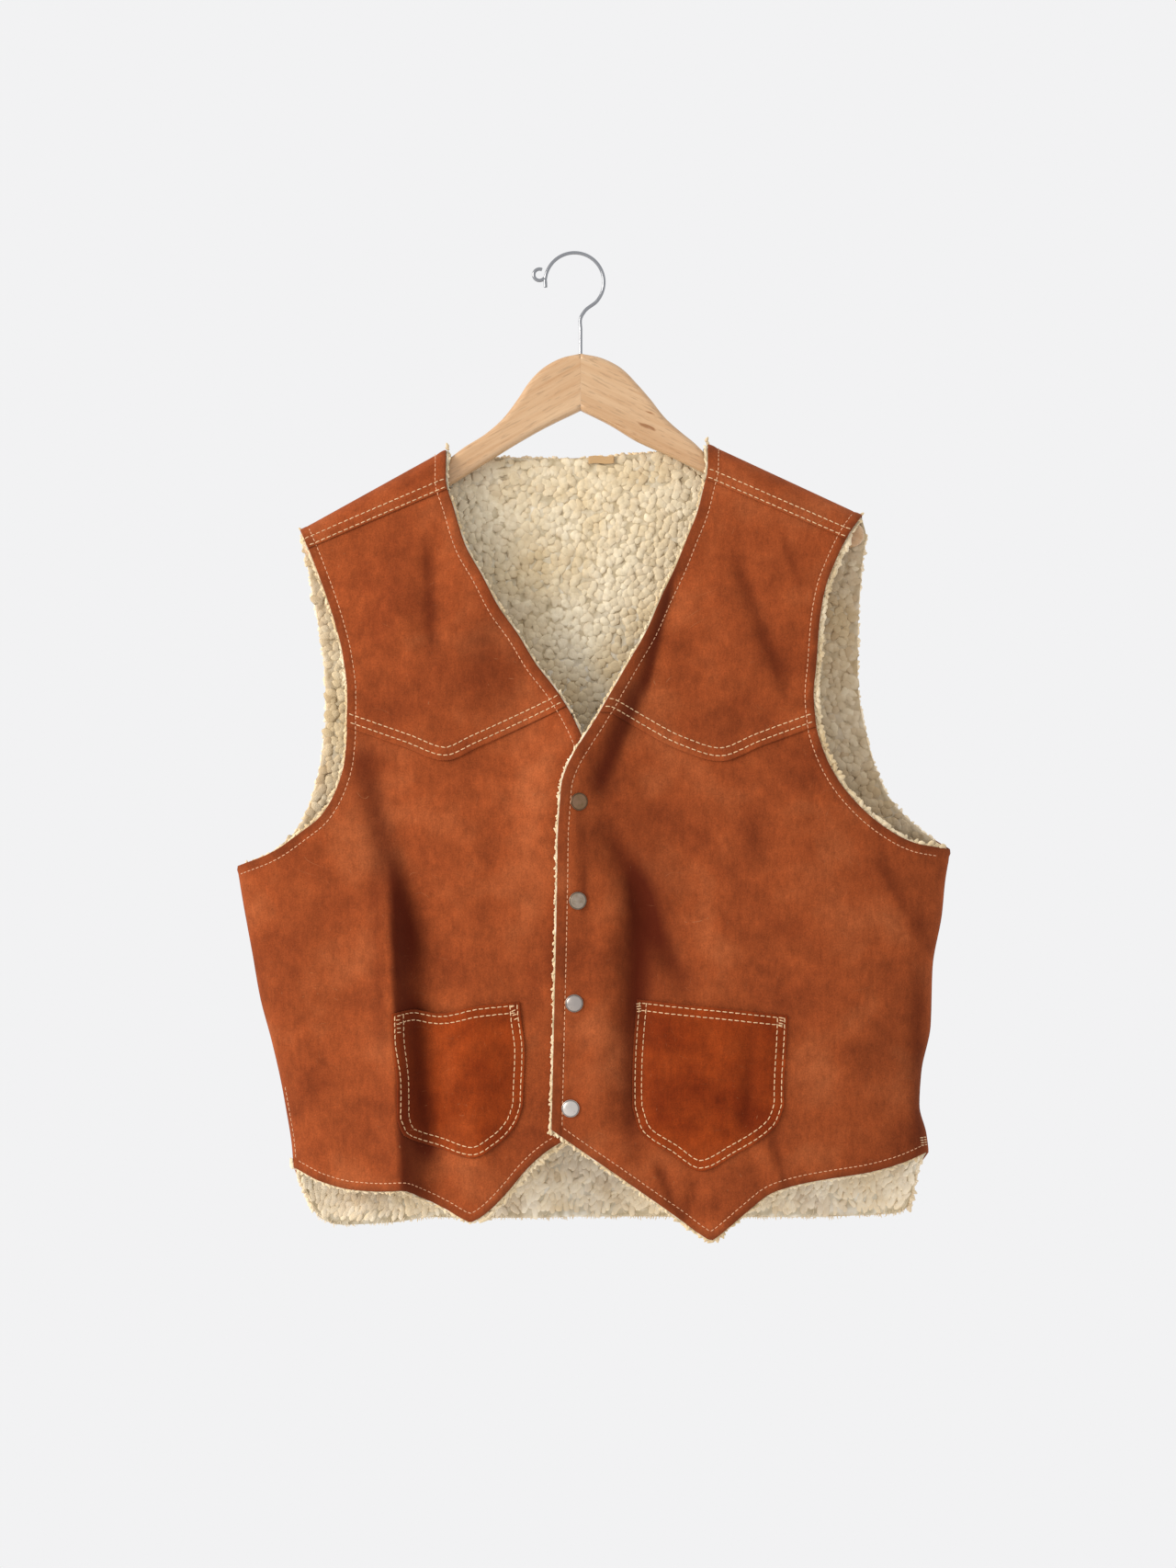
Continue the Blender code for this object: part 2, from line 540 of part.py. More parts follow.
def make_snaps(front):
    """Four domed caps, turned from one profile."""
    profile = [(radius * SNAP_RADIUS * MM, 0, height * SNAP_HEIGHT * MM)
               for radius, height in zip(SNAP_PROFILE["radius"], SNAP_PROFILE["height"])]
    mesh = bpy.data.meshes.new("snap_cap")
    mesh.from_pydata(profile, [(k, k + 1) for k in range(len(profile) - 1)], [])
    for number, (x, down) in enumerate(zip(SNAP_PLACES["x"], SNAP_PLACES["down"]), 1):
        point, normal = surface(front_depth, "left", np.array([x]), np.array([down]), -1)
        normal = Vector(normal[0])
        cap = bpy.data.objects.new("snap_cap_%d" % number, mesh)
        vest.objects.link(cap)
        cap.location = seat(front, Vector(point[0] * MM), normal, SNAP_RADIUS, GAP)
        cap.rotation_mode = "QUATERNION"
        cap.rotation_quaternion = normal.to_track_quat("Z", "Y")
        turn = cap.modifiers.new("turned", "SCREW")
        turn.steps = turn.render_steps = SNAP_STEPS
        turn.use_merge_vertices = True
        turn.merge_threshold = 0.00001
    mesh.materials.append(steel)


def make_neck_tab(lining):
    """Blank strip of tape on the pile below the back neck."""
    point, normal = surface(back_depth, "back", np.array([TAB_PLACE["x"]]), np.array([TAB_PLACE["down"]]), 1)
    inward = -Vector(normal[0])
    under_pile = Vector(point[0] * MM) + inward * (SUEDE + GAP + PILE_LINING) * MM
    bpy.ops.mesh.primitive_cube_add(size=1)
    tab = bpy.context.object
    tab.name = tab.data.name = "neck_tab"
    for collection in list(tab.users_collection):
        collection.objects.unlink(tab)
    vest.objects.link(tab)
    tab.data.transform(Matrix.Diagonal((*[length * MM for length in TAB_SIZE], 1)))
    tab.data.materials.append(tape)
    tab.location = seat(lining, under_pile, inward, TAB_SIZE[0] / 2, GAP + TAB_SIZE[1] / 2)
    tab.rotation_mode = "QUATERNION"
    tab.rotation_quaternion = inward.to_track_quat("-Y", "Z")


def arm_outline(side):
    """Outline of one hanger arm: crown, sloping top under the shoulder, round end, underside."""
    end_x = ARM_END_X[side]
    outward = 1 if side == "left" else -1
    crown = list(zip(ARM_CROWN[side]["x"], ARM_CROWN[side]["down"]))
    crown[0] = (HANGER_JOINT_X + outward * GAP / 2, crown[0][1])
    under = list(zip(ARM_UNDERSIDE[side]["x"], ARM_UNDERSIDE[side]["down"]))[::-1]
    under[-1] = (HANGER_JOINT_X + outward * GAP / 2, under[-1][1])
    neck_x = OUTLINE[side]["ridge"]["x"][0 if side == "left" else 1]
    slope = math.atan(abs(ridge_slope(side)))
    radius = ARM_HEIGHT_AT_END / 2
    shoulder_x = (neck_x - outward * ARM_SETTLES_BEFORE, end_x - outward * radius * (1 - math.sin(slope)))
    top = [(x, float(ridge_drop(np.array(x))) + HANGER_BELOW_RIDGE / math.cos(slope)) for x in shoulder_x]
    centre = (end_x - outward * radius, top[-1][1] + radius * math.cos(slope))
    end = [(centre[0] + outward * radius * math.sin(angle), centre[1] - radius * math.cos(angle))
           for angle in np.linspace(slope, math.pi, 7)[1:]]
    return crown + top + end + under


def make_hanger():
    """Two arms sawn from a flat board, rounded along their edges, bored for the hook's stem."""
    bpy.ops.mesh.primitive_cylinder_add(
        vertices=12, radius=(WIRE_RADIUS + GAP) * MM, depth=2 * STEM_SEAT * MM,
        location=(HANGER_JOINT_X * MM, 0, -ARM_CROWN["right"]["down"][0] * MM))
    bore = bpy.context.object
    bore.name = "stem_bore"
    bore.hide_render = True
    bore.display_type = "WIRE"
    for collection in list(bore.users_collection):
        collection.objects.unlink(bore)
    cutters.objects.link(bore)
    for side in ("right", "left"):
        outline = arm_outline(side)
        drawn = bpy.data.curves.new("arm_" + side, "CURVE")
        drawn.dimensions = "2D"
        drawn.fill_mode = "BOTH"
        drawn.extrude = (HANGER_THICKNESS / 2 - HANGER_ROUNDING) * MM
        drawn.bevel_depth = HANGER_ROUNDING * MM
        drawn.bevel_resolution = 2
        drawn.offset = -HANGER_ROUNDING * MM
        spline = drawn.splines.new("POLY")
        spline.points.add(len(outline) - 1)
        for spot, (x, down) in zip(spline.points, outline):
            spot.co = (x * MM, -down * MM, 0, 1)
        spline.use_cyclic_u = True
        holder = bpy.data.objects.new("arm_" + side, drawn)
        holder.rotation_euler = (math.pi / 2, 0, 0)
        vest.objects.link(holder)
        depsgraph = bpy.context.evaluated_depsgraph_get()
        depsgraph.update()
        mesh = bpy.data.meshes.new_from_object(holder.evaluated_get(depsgraph))
        mesh.transform(holder.matrix_world)
        bpy.data.objects.remove(holder)
        shape = bmesh.new()
        shape.from_mesh(mesh)
        bmesh.ops.remove_doubles(shape, verts=shape.verts[:], dist=0.00001)
        bmesh.ops.recalc_face_normals(shape, faces=shape.faces[:])
        shape.to_mesh(mesh)
        shape.free()
        arm = add_object("hanger_arm_" + side, mesh, wood)
        cut = arm.modifiers.new("stem bore", "BOOLEAN")
        cut.operation = "DIFFERENCE"
        cut.object = bore


def hook_route():
    """Centre line of the hook: up the stem, out along a short slope, round the bend to the
    far side and into a small closed curl at the tip."""
    bend_centre = (HOOK_CENTRE_X, WIRE_RADIUS - HOOK_RADIUS)
    stem_foot = -ARM_CROWN["right"]["down"][0] - STEM_SEAT + 1
    route = [(HANGER_JOINT_X, stem_foot)] + list(zip(HOOK_STEM["x"], HOOK_STEM["z"]))
    for centre, radius, degrees in ((bend_centre, HOOK_RADIUS, HOOK_BEND_DEGREES),
                                    (CURL_CENTRE, CURL_RADIUS, CURL_DEGREES)):
        route += [(centre[0] + radius * math.cos(angle), centre[1] + radius * math.sin(angle))
                  for angle in np.radians(np.arange(*degrees))]
    return route


def make_hook():
    wire = bpy.data.curves.new("hook", "CURVE")
    wire.dimensions = "3D"
    wire.bevel_depth = WIRE_RADIUS * MM
    wire.bevel_resolution = 2
    wire.use_fill_caps = True
    route = hook_route()
    spline = wire.splines.new("POLY")
    spline.points.add(len(route) - 1)
    for spot, (x, z) in zip(spline.points, route):
        spot.co = (x * MM, 0, z * MM, 1)
    wire.materials.append(steel)
    vest.objects.link(bpy.data.objects.new("hook", wire))


for leftover in list(bpy.data.objects):
    bpy.data.objects.remove(leftover)
vest = bpy.data.collections.new("suede vest on a hanger")
cutters = bpy.data.collections.new("cutters")
bpy.context.scene.collection.children.link(vest)
bpy.context.scene.collection.children.link(cutters)

suede = make_material("chestnut suede", (0.40, 0.125, 0.035), 0.95)
pocket_suede = make_material("dark chestnut suede", (0.28, 0.07, 0.02), 0.95)
pile = make_material("cream pile", (0.72, 0.62, 0.45), 1.0)
steel = make_material("bright steel", (0.75, 0.75, 0.75), 0.25, 1.0)
wood = make_material("pale hardwood", (0.72, 0.46, 0.22), 0.45)
tape = make_material("tan tape", (0.70, 0.47, 0.22), 0.8)

make_front("right")
make_snaps(make_front("left"))
make_neck_tab(make_back())
make_hanger()
make_hook()
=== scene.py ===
"""Looks of a western suede vest with a cream pile lining, snapped shut on a wooden hanger.

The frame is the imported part's: metres, +X to the right of someone who faces the vest, +Y away
from them, +Z up, and the origin inside the top of the hook's bend. Sizes here are millimetres
until a mesh is made. "down" is the drop below the origin, and right and left are the wearer's,
so the right front is at -X. A place (x, down) is where a point shows from straight in front.
"""
import math
from functools import partial

import bmesh
import bpy
import numpy as np
from mathutils import Matrix, Vector


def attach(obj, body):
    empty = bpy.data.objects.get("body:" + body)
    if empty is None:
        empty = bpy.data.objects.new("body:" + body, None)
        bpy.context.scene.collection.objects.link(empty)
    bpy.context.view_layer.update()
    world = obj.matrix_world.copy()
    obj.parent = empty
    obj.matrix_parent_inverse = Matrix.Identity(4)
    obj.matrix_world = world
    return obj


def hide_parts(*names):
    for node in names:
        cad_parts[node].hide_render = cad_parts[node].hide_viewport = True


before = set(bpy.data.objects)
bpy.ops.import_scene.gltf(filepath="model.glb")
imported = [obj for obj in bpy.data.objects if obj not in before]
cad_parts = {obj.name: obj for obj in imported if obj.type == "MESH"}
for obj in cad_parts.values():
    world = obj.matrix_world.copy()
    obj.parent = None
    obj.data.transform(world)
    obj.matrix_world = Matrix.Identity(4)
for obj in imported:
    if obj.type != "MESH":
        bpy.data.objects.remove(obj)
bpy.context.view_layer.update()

# Hanger arms
# Two arms sawn from a pale hardwood board, rounded over along their edges and glued end to
# end in the middle, then dipped in satin varnish. The grain runs out along each arm.
MM = 0.001
JOINT_X = 4.4
JOINT_GAP = 0.06
BOARD_THICKNESS = 12.0
EDGE_ROUNDING = 4.5
BELOW_SHOULDER = 7.7
ARM_HEIGHT_AT_END = 20.0
SETTLES_BEFORE = 3.5
SHOULDER_LINE = {"right": dict(x=(-220.0, -103.5), down=(220.5, 156.0)),
                 "left": dict(x=(106.5, 229.5), down=(151.5, 208.5))}
ARM_END_X = {"right": -217.0, "left": 231.0}
ARM_CROWN = {
    "right": dict(x=(4.4, -11, -25.7, -36.8, -45.6, -58, -71.3, -90),
                  down=(79.4, 83, 91, 102.2, 115.4, 131.6, 143.3, 155.2)),
    "left": dict(x=(4.4, 21.3, 36.8, 49.2, 60.3, 71.3, 86, 95),
                 down=(79.4, 83, 91, 103.3, 116, 130, 143.3, 150.5)),
}
ARM_UNDERSIDE = {
    "right": dict(x=(-97, -71.3, -50, -25.7, 4.4), down=(183, 166.8, 153.6, 139.7, 125)),
    "left": dict(x=(101.4, 71.3, 49.2, 27.9, 4.4), down=(174.2, 159.5, 149.6, 136.7, 125)),
}
OUTWARD = {"right": -1, "left": 1}
STAINED_ABOVE = {"right": 0.8, "left": 0.71}


def srgb(code):
    """Linear colour of an sRGB hex value such as "#A0522D"."""
    part = np.array([int(code[start:start + 2], 16) for start in (1, 3, 5)]) / 255
    linear = np.where(part <= 0.04045, part / 12.92, ((part + 0.055) / 1.055) ** 2.4)
    return (*linear.tolist(), 1.0)


def add(material, kind, inputs=None, ramp=None, **settings):
    """Add a node to a material. Settings are the node's own properties, inputs are its sockets,
    each given a value or another node's output, and ramp holds a colour ramp's stops. A Mix of
    colours takes them at 6 and 7, its share at 0, and gives the result at 2."""
    made = material.node_tree.nodes.new("ShaderNode" + kind)
    for name, value in settings.items():
        setattr(made, name, value)
    for name, value in (inputs or {}).items():
        if isinstance(value, bpy.types.NodeSocket):
            material.node_tree.links.new(value, made.inputs[name])
        else:
            made.inputs[name].default_value = value
    if ramp:
        while len(made.color_ramp.elements) < len(ramp):
            made.color_ramp.elements.new(0.5)
        for stop, (place, colour) in zip(made.color_ramp.elements, ramp):
            stop.position = place
            stop.color = colour
    return made


def new_finish(name, **sockets):
    """A material with one Principled shader, whose own sockets take the values given."""
    material = bpy.data.materials.new(name)
    material.use_nodes = True
    shader = material.node_tree.nodes["Principled BSDF"]
    for socket, value in sockets.items():
        shader.inputs[socket.replace("_", " ")].default_value = value
    return material, shader


def join(material, output, shader, socket):
    """Link a node's output to a socket of the shader."""
    material.node_tree.links.new(output, shader.inputs[socket])


def grey(value):
    """Neutral colour of a linear brightness, for tones that multiply another colour."""
    return (value, value, value, 1.0)


def placed(name, data):
    """Put a mesh, light or camera in the scene."""
    made = bpy.data.objects.new(name, data)
    bpy.context.scene.collection.objects.link(made)
    return made


def make_piece(name, points, faces, material, nodes=(), marks=None):
    """Make a closed mesh from points in millimetres, face it outwards, give it its finish and
    fix it to the vest. Caps with more than four corners stay flat. marks are numbers kept on
    its points for the finish to read."""
    mesh = bpy.data.meshes.new(name)
    mesh.from_pydata((np.asarray(points) * MM).tolist(), [], faces)
    shape = bmesh.new()
    shape.from_mesh(mesh)
    bmesh.ops.recalc_face_normals(shape, faces=shape.faces[:])
    shape.to_mesh(mesh)
    shape.free()
    corners = np.zeros(len(mesh.polygons), int)
    mesh.polygons.foreach_get("loop_total", corners)
    mesh.polygons.foreach_set("use_smooth", corners <= 4)
    for mark, value in (marks or {}).items():
        kept = mesh.attributes.new(mark, "FLOAT", "POINT")
        kept.data.foreach_set("value", np.asarray(value, np.float32).ravel())
    mesh.materials.append(material)
    piece = placed(name, mesh)
    if nodes:
        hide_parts(*nodes)
    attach(piece, "root")
    return piece


def unit(vectors):
    """The same directions with a length of 1."""
    return vectors / np.linalg.norm(vectors, axis=-1, keepdims=True)


def smooth_path(points, step):
    """Curve through points, sampled about every step. On each stretch it is a cubic, whose
    direction at a point is the mean of the two stretches that meet there, weighted so that
    the shorter one counts more."""
    points = np.array(points, float)
    run = np.diff(points, axis=0)
    length = np.linalg.norm(run, axis=1)[:, None]
    rate = run / length
    inner = (rate[:-1] * length[1:] + rate[1:] * length[:-1]) / (length[1:] + length[:-1])
    slope = np.vstack((rate[:1], inner, rate[-1:]))
    stretches = []
    for k in range(len(run)):
        count = max(2, math.ceil(length[k, 0] / step))
        t = np.linspace(0, 1, count, endpoint=False)[:, None]
        stretches.append((1 + 2 * t) * (1 - t) ** 2 * points[k] + t ** 2 * (3 - 2 * t) * points[k + 1]
                         + length[k] * (t * (1 - t) ** 2 * slope[k] - t ** 2 * (1 - t) * slope[k + 1]))
    return np.vstack(stretches + [points[-1:]])


def shoulder_slope(side):
    """Drop for each millimetre to +x along a shoulder."""
    line = SHOULDER_LINE[side]
    return (line["down"][1] - line["down"][0]) / (line["x"][1] - line["x"][0])


def arm_outline(side):
    """Outline of an arm from the top of the joint, out over the crown and the shoulder, round
    the end and back along the underside to the foot of the joint."""
    out = OUTWARD[side]
    line = SHOULDER_LINE[side]
    slope_down = shoulder_slope(side)
    tilt = math.atan(abs(slope_down))
    radius = ARM_HEIGHT_AT_END / 2
    neck_x = line["x"][0 if side == "left" else 1]
    end_x = ARM_END_X[side]
    top = [(x, line["down"][0] + slope_down * (x - line["x"][0]) + BELOW_SHOULDER / math.cos(tilt))
           for x in (neck_x - out * SETTLES_BEFORE, end_x - out * radius * (1 - math.sin(tilt)))]
    centre = (end_x - out * radius, top[1][1] + radius * math.cos(tilt))
    end = [(centre[0] + out * radius * math.sin(angle), centre[1] - radius * math.cos(angle))
           for angle in np.linspace(tilt, math.pi, 13)[1:]]
    crown = list(zip(ARM_CROWN[side]["x"], ARM_CROWN[side]["down"]))
    under = list(zip(ARM_UNDERSIDE[side]["x"], ARM_UNDERSIDE[side]["down"]))
    return smooth_path(crown + top + end + under, 3.0)


def sawn_arm(side):
    """Points and faces of an arm: at each point of its outline the edge is a half turn from
    the front face to the back face, moved in by the rounding times 1 - sin(turn)."""
    outline = arm_outline(side)
    away = np.gradient(outline, axis=0)
    away = unit(np.stack((away[:, 1], -away[:, 0]), axis=1) * OUTWARD[side])
    away[[0, -1]] = ((0, -1), (0, 1))
    quarter = np.linspace(0, math.pi / 2, 6)
    turn = np.concatenate((quarter, quarter + math.pi / 2))
    inward = EDGE_ROUNDING * (1 - np.sin(turn))
    place = outline[:, None] - away[:, None] * inward[None, :, None]
    joint = JOINT_X + OUTWARD[side] * JOINT_GAP / 2
    place[..., 0] = np.maximum(place[..., 0] * OUTWARD[side], joint * OUTWARD[side]) * OUTWARD[side]
    place[[0, -1], :, 0] = joint
    flat = np.repeat((1, -1), 6) * (BOARD_THICKNESS / 2 - EDGE_ROUNDING)
    across = flat + EDGE_ROUNDING * np.cos(turn)
    depth = np.broadcast_to(-across, place.shape[:2])
    points = np.stack((place[..., 0], depth, -place[..., 1]), axis=-1).reshape(-1, 3)
    rows, columns = place.shape[:2]
    number = np.arange(rows * columns).reshape(rows, columns)
    quads = np.stack((number[:-1, :-1], number[:-1, 1:], number[1:, 1:], number[1:, :-1]), axis=-1)
    faces = quads.reshape(-1, 4).tolist()
    faces.append(number[:, 0].tolist())
    faces.append(number[::-1, -1].tolist())
    faces.append(number[0].tolist() + number[-1, ::-1].tolist())
    return points, faces


def varnished_wood(side):
    """Straight-grained pale hardwood: pores and streaks drawn out along the arm 20 times
    longer than they are wide, with the gloss of a thin satin varnish over them."""
    wood, shader = new_finish("varnished hardwood " + side, Roughness=0.42, Coat_Weight=0.35,
                              Coat_Roughness=0.22, Specular_IOR_Level=0.4)
    place = add(wood, "TexCoord").outputs["Object"]
    along = add(wood, "Mapping", {"Vector": place, "Rotation": (0, -math.atan(shoulder_slope(side)), 0)})
    grain = add(wood, "Mapping", {"Vector": along.outputs[0], "Scale": (16, 320, 320)})
    streak = add(wood, "TexNoise", {"Vector": grain.outputs[0], "Scale": 1.0, "Detail": 4.0,
                                    "Roughness": 0.6, "Distortion": 0.4})
    ring = add(wood, "Mapping", {"Vector": along.outputs[0], "Scale": (7, 60, 75)})
    band = add(wood, "TexNoise", {"Vector": ring.outputs[0], "Scale": 1.0, "Detail": 2.0})
    fleck = add(wood, "Mapping", {"Vector": along.outputs[0], "Scale": (90, 900, 900)})
    pore = add(wood, "TexNoise", {"Vector": fleck.outputs[0], "Scale": 1.0, "Detail": 1.0})
    tone = add(wood, "ValToRGB", {"Fac": streak.outputs["Fac"]},
               ramp=[(0.25, srgb("#AB7D51")), (0.48, srgb("#C59D74")), (0.75, srgb("#D1B08A"))])
    broad = add(wood, "ValToRGB", {"Fac": band.outputs["Fac"]},
                ramp=[(0.3, srgb("#B58A60")), (0.7, srgb("#D3B38E"))])
    mixed = add(wood, "Mix", {0: 0.45, 6: tone.outputs[0], 7: broad.outputs[0]}, data_type="RGBA")
    dark = add(wood, "ValToRGB", {"Fac": pore.outputs["Fac"]}, ramp=[(0.30, grey(0.72)), (0.42, grey(1))])
    pored = add(wood, "Mix", {0: 0.8, 6: mixed.outputs[2], 7: dark.outputs[0]}, data_type="RGBA",
                blend_type="MULTIPLY")
    mineral = add(wood, "Mapping", {"Vector": along.outputs[0], "Location": (0.4, 0, 0.3),
                                    "Scale": (26, 60, 150)})
    spot = add(wood, "TexNoise", {"Vector": mineral.outputs[0], "Scale": 1.0, "Detail": 3.0})
    full = STAINED_ABOVE[side]
    stain = add(wood, "ValToRGB", {"Fac": spot.outputs["Fac"]},
                ramp=[(full - 0.05, grey(0)), (full, grey(1))])
    final = add(wood, "Mix", {0: stain.outputs[0], 6: pored.outputs[2], 7: srgb("#96673E")},
                data_type="RGBA")
    join(wood, final.outputs[2], shader, "Base Color")
    relief = add(wood, "Bump", {"Strength": 0.12, "Distance": 0.0004, "Height": streak.outputs["Fac"]})
    join(wood, relief.outputs[0], shader, "Normal")
    return wood


for side in OUTWARD:
    points, faces = sawn_arm(side)
    make_piece("arm_" + side, points, faces, varnished_wood(side), ["hanger_arm_" + side])

# Hook
# Bright drawn steel wire, 2.8 mm thick, screwed into the hanger's crown, bent over the rail
# and curled into a small closed eye at its tip.
WIRE_RADIUS = 1.4
WIRE_SIDES = 16
BEND_RADIUS = 23.5
BEND_CENTRE = (-0.5, -22.1)
BEND_DEGREES = (-38, 199, 12)
CURL_CENTRE = (-28.5, -16.2)
CURL_RADIUS = 4.6
CURL_DEGREES = (-40, -300, -16)
STEM = ((4.4, -102.4), (4.4, -60), (4.4, -51), (7.5, -45.5))


def full_turn(count):
    """Angles of even steps round a circle."""
    return np.linspace(0, 2 * math.pi, count, endpoint=False)


def arc(centre, radius, degrees):
    """Places on a circle, at even steps from one angle to another."""
    return [(centre[0] + radius * math.cos(angle), centre[1] + radius * math.sin(angle))
            for angle in np.radians(np.arange(*degrees))]


def tube_faces(rings, sides):
    """Faces of a tube of rings of points, closed by a face at each end."""
    number = np.arange(rings * sides).reshape(rings, sides)
    around = np.roll(number, -1, axis=1)
    quads = np.stack((number[:-1], around[:-1], around[1:], number[1:]), axis=-1)
    return quads.reshape(-1, 4).tolist() + [number[0, ::-1].tolist(), number[-1].tolist()]


def bent_wire(route, radius, sides):
    """Points of a round wire along a route in the plane y = 0: a circle in each cross plane."""
    middle = smooth_path(route, 1.2)
    ahead = unit(np.gradient(middle, axis=0))
    turn = full_turn(sides)
    x = middle[:, :1] - ahead[:, 1:] * radius * np.cos(turn)
    z = middle[:, 1:] + ahead[:, :1] * radius * np.cos(turn)
    y = np.broadcast_to(radius * np.sin(turn), x.shape)
    return np.stack((x, y, z), axis=-1).reshape(-1, 3), tube_faces(len(middle), sides)


wire_steel, shader = new_finish("drawn steel wire", Metallic=1.0, Roughness=0.22,
                                Base_Color=srgb("#96989C"))
place = add(wire_steel, "TexCoord").outputs["Object"]
drawn = add(wire_steel, "Mapping", {"Vector": place, "Scale": (700, 700, 90)})
marks = add(wire_steel, "TexNoise", {"Vector": drawn.outputs[0], "Scale": 1.0, "Detail": 2.0})
dull = add(wire_steel, "MapRange", {"Value": marks.outputs["Fac"], "From Min": 0.3, "From Max": 0.8,
                                    "To Min": 0.16, "To Max": 0.4})
join(wire_steel, dull.outputs[0], shader, "Roughness")
scratch = add(wire_steel, "Bump", {"Strength": 0.15, "Distance": 0.0001, "Height": marks.outputs["Fac"]})
join(wire_steel, scratch.outputs[0], shader, "Normal")
route = list(STEM) + arc(BEND_CENTRE, BEND_RADIUS, BEND_DEGREES) + arc(CURL_CENTRE, CURL_RADIUS, CURL_DEGREES)
points, faces = bent_wire(route, WIRE_RADIUS, WIRE_SIDES)
make_piece("hook_wire", points, faces, wire_steel, ["hook"])

# Pile lining
# A sheared sherpa pile: cream curls 6 to 8 mm across, with painted shade in the crevices
# between them, on a knitted ground. It is sewn to the suede along every edge and shows 2 mm
# past the cut edge.
SUEDE = 1.3
GAP = 0.3
PILE = 5.0
PRESSED_PILE = 3.0
PRESSED_TO = (32.0, 80.0)
PILE_SHOWS = 1.4
EYE = dict(x=10.3, down=423.4, distance=2200.0)
SHOULDER_RADIUS = 15.0
FRONT_FILL = dict(below=(0, 27, 60, 120, 200, 300, 450, 650), depth=(0, 2, 6, 14, 22, 29, 35, 38))
BACK_FILL = dict(below=(0, 60, 200, 400, 650), depth=(0, 1, 4, 7, 9))
SIDE_SEAM_DEPTH = -8.0
SIDE_SETTLES_OVER = (20.0, 160.0)
FRONT_ROUNDS_OVER = 180.0
BACK_ROUNDS_OVER = 90.0
SHOULDER_REACH = 285.0
REACH_NARROWS_OVER = 270.0
OUTLINE = {
    "right": dict(
        seam=dict(x=(-214.5, -103.5), down=(235.5, 188.0)),
        yoke=dict(x=(-183, -137, -104, -77, -15, -4), down=(378, 394, 405, 394, 365.5, 360)),
        underarm=dict(x=(-270.5, 15.0), down=(489.0, 500.0)),
        hem=dict(x=(-225.5, -203.5, -178.5, -154, -137.5, -123, -103.5, -89,
                    -84, -79, -69, -52, -40, -25, -11, 15),
                 down=(730, 741.5, 748, 749.5, 749, 754, 763.5, 772,
                       774, 772, 765, 747.5, 733, 719, 710, 699)),
        neck_edge=dict(down=(156, 179, 203, 232, 257, 282, 304, 327, 347, 365, 383, 405, 430, 470,
                             560, 700),
                       x=(-103.5, -103.5, -97, -88, -74, -61, -45.5, -31.5, -16, -4.5, 4.5, 13, 17.5,
                          18.5, 17, 15)),
        armhole=dict(down=(220.5, 234, 257, 289, 320.5, 351, 374, 403.5, 425.5, 448, 464, 478, 489),
                     x=(-220, -214, -205, -194, -186, -182.5, -182.5, -184.5, -190.5, -203, -222.5,
                        -243, -270.5)),
        side=dict(down=(489, 519, 560, 594, 628, 658, 682, 714, 728.5),
                  x=(-270.5, -265.5, -258, -252, -243, -236, -231.5, -226.5, -225.5)),
        back_armhole=dict(down=(220.5, 233, 246, 275, 298, 329, 363, 392, 414, 439, 461, 478, 489),
                          x=(-220, -216, -213, -207.5, -203, -199, -197.5, -200, -203, -210, -222,
                             -243, -270.5)),
        back_tail=dict(down=(728.5, 742, 757, 775), x=(-225.5, -220.5, -213.5, -206)),
    ),
    "left": dict(
        seam=dict(x=(106.0, 217.0), down=(180.0, 228.0)),
        yoke=dict(x=(28, 48.5, 82.5, 116, 150, 191), down=(366, 378, 396, 405.5, 393, 378)),
        underarm=dict(x=(-12.0, 300.5), down=(500.0, 475.5)),
        hem=dict(x=(-19, 6, 31.5, 56.5, 82.5, 102, 109, 116, 137.5, 158, 183, 208.5, 233.5, 259.5, 283),
                 down=(700, 717.5, 735, 752.5, 770.5, 785, 788.5, 784, 766, 750.5, 743, 738.5, 734.5,
                       727.5, 717.5)),
        neck_edge=dict(down=(151.5, 172, 183, 205, 228, 250.5, 275, 300, 327, 351, 374, 387, 408, 423.5,
                             441.5, 464.5, 502, 616, 700),
                       x=(106.5, 106, 103.5, 98, 89, 80, 68.5, 57.5, 42, 28, 14.5, 6, -6, -11,
                          -12.5, -14, -14.5, -17, -19)),
        armhole=dict(down=(208.5, 223.5, 246, 268, 295.5, 329, 351, 374, 397, 419, 441.5, 459.5, 471, 475.5),
                     x=(229.5, 219, 208, 200, 195.5, 193, 191, 192.5, 199, 210, 228.5, 250.5, 273.5, 300.5)),
        side=dict(down=(475.5, 502, 527.5, 570.5, 616, 654, 680, 702.5, 717.5),
                  x=(300.5, 296, 293.5, 286, 284.5, 277, 275.5, 281, 283)),
        back_armhole=dict(down=(208.5, 223, 239, 262, 306.5, 340, 374, 408, 433, 453, 464.5, 475.5),
                          x=(229.5, 231, 229, 226.5, 224.5, 224.5, 229, 238, 249, 267, 282.5, 300.5)),
        back_tail=dict(down=(717.5, 730, 745, 775), x=(283, 275, 271.5, 266)),
    ),
}
BACK_NECK = dict(x=(-103.5, -102.8, -101.3, -97, -84, -62.5, -15, 41, 62.5, 86, 100.5, 104.6, 105.9,
                    106.5),
                 down=(156, 157.3, 161, 167, 166.5, 162.5, 163.2, 160.5, 158.5, 162.5, 163, 156.5, 152.7,
                       151.5))
BACK_UNDERARM = dict(x=(-270.5, 300.5), down=(489.0, 475.5))
BACK_HEM = dict(x=(-225, -213.5, -205, -190, -147, -113, -40, 57, 158, 234, 258, 266, 272),
                down=(745, 758, 768, 773.5, 772, 768, 768, 767, 768, 766, 764.5, 760, 745))

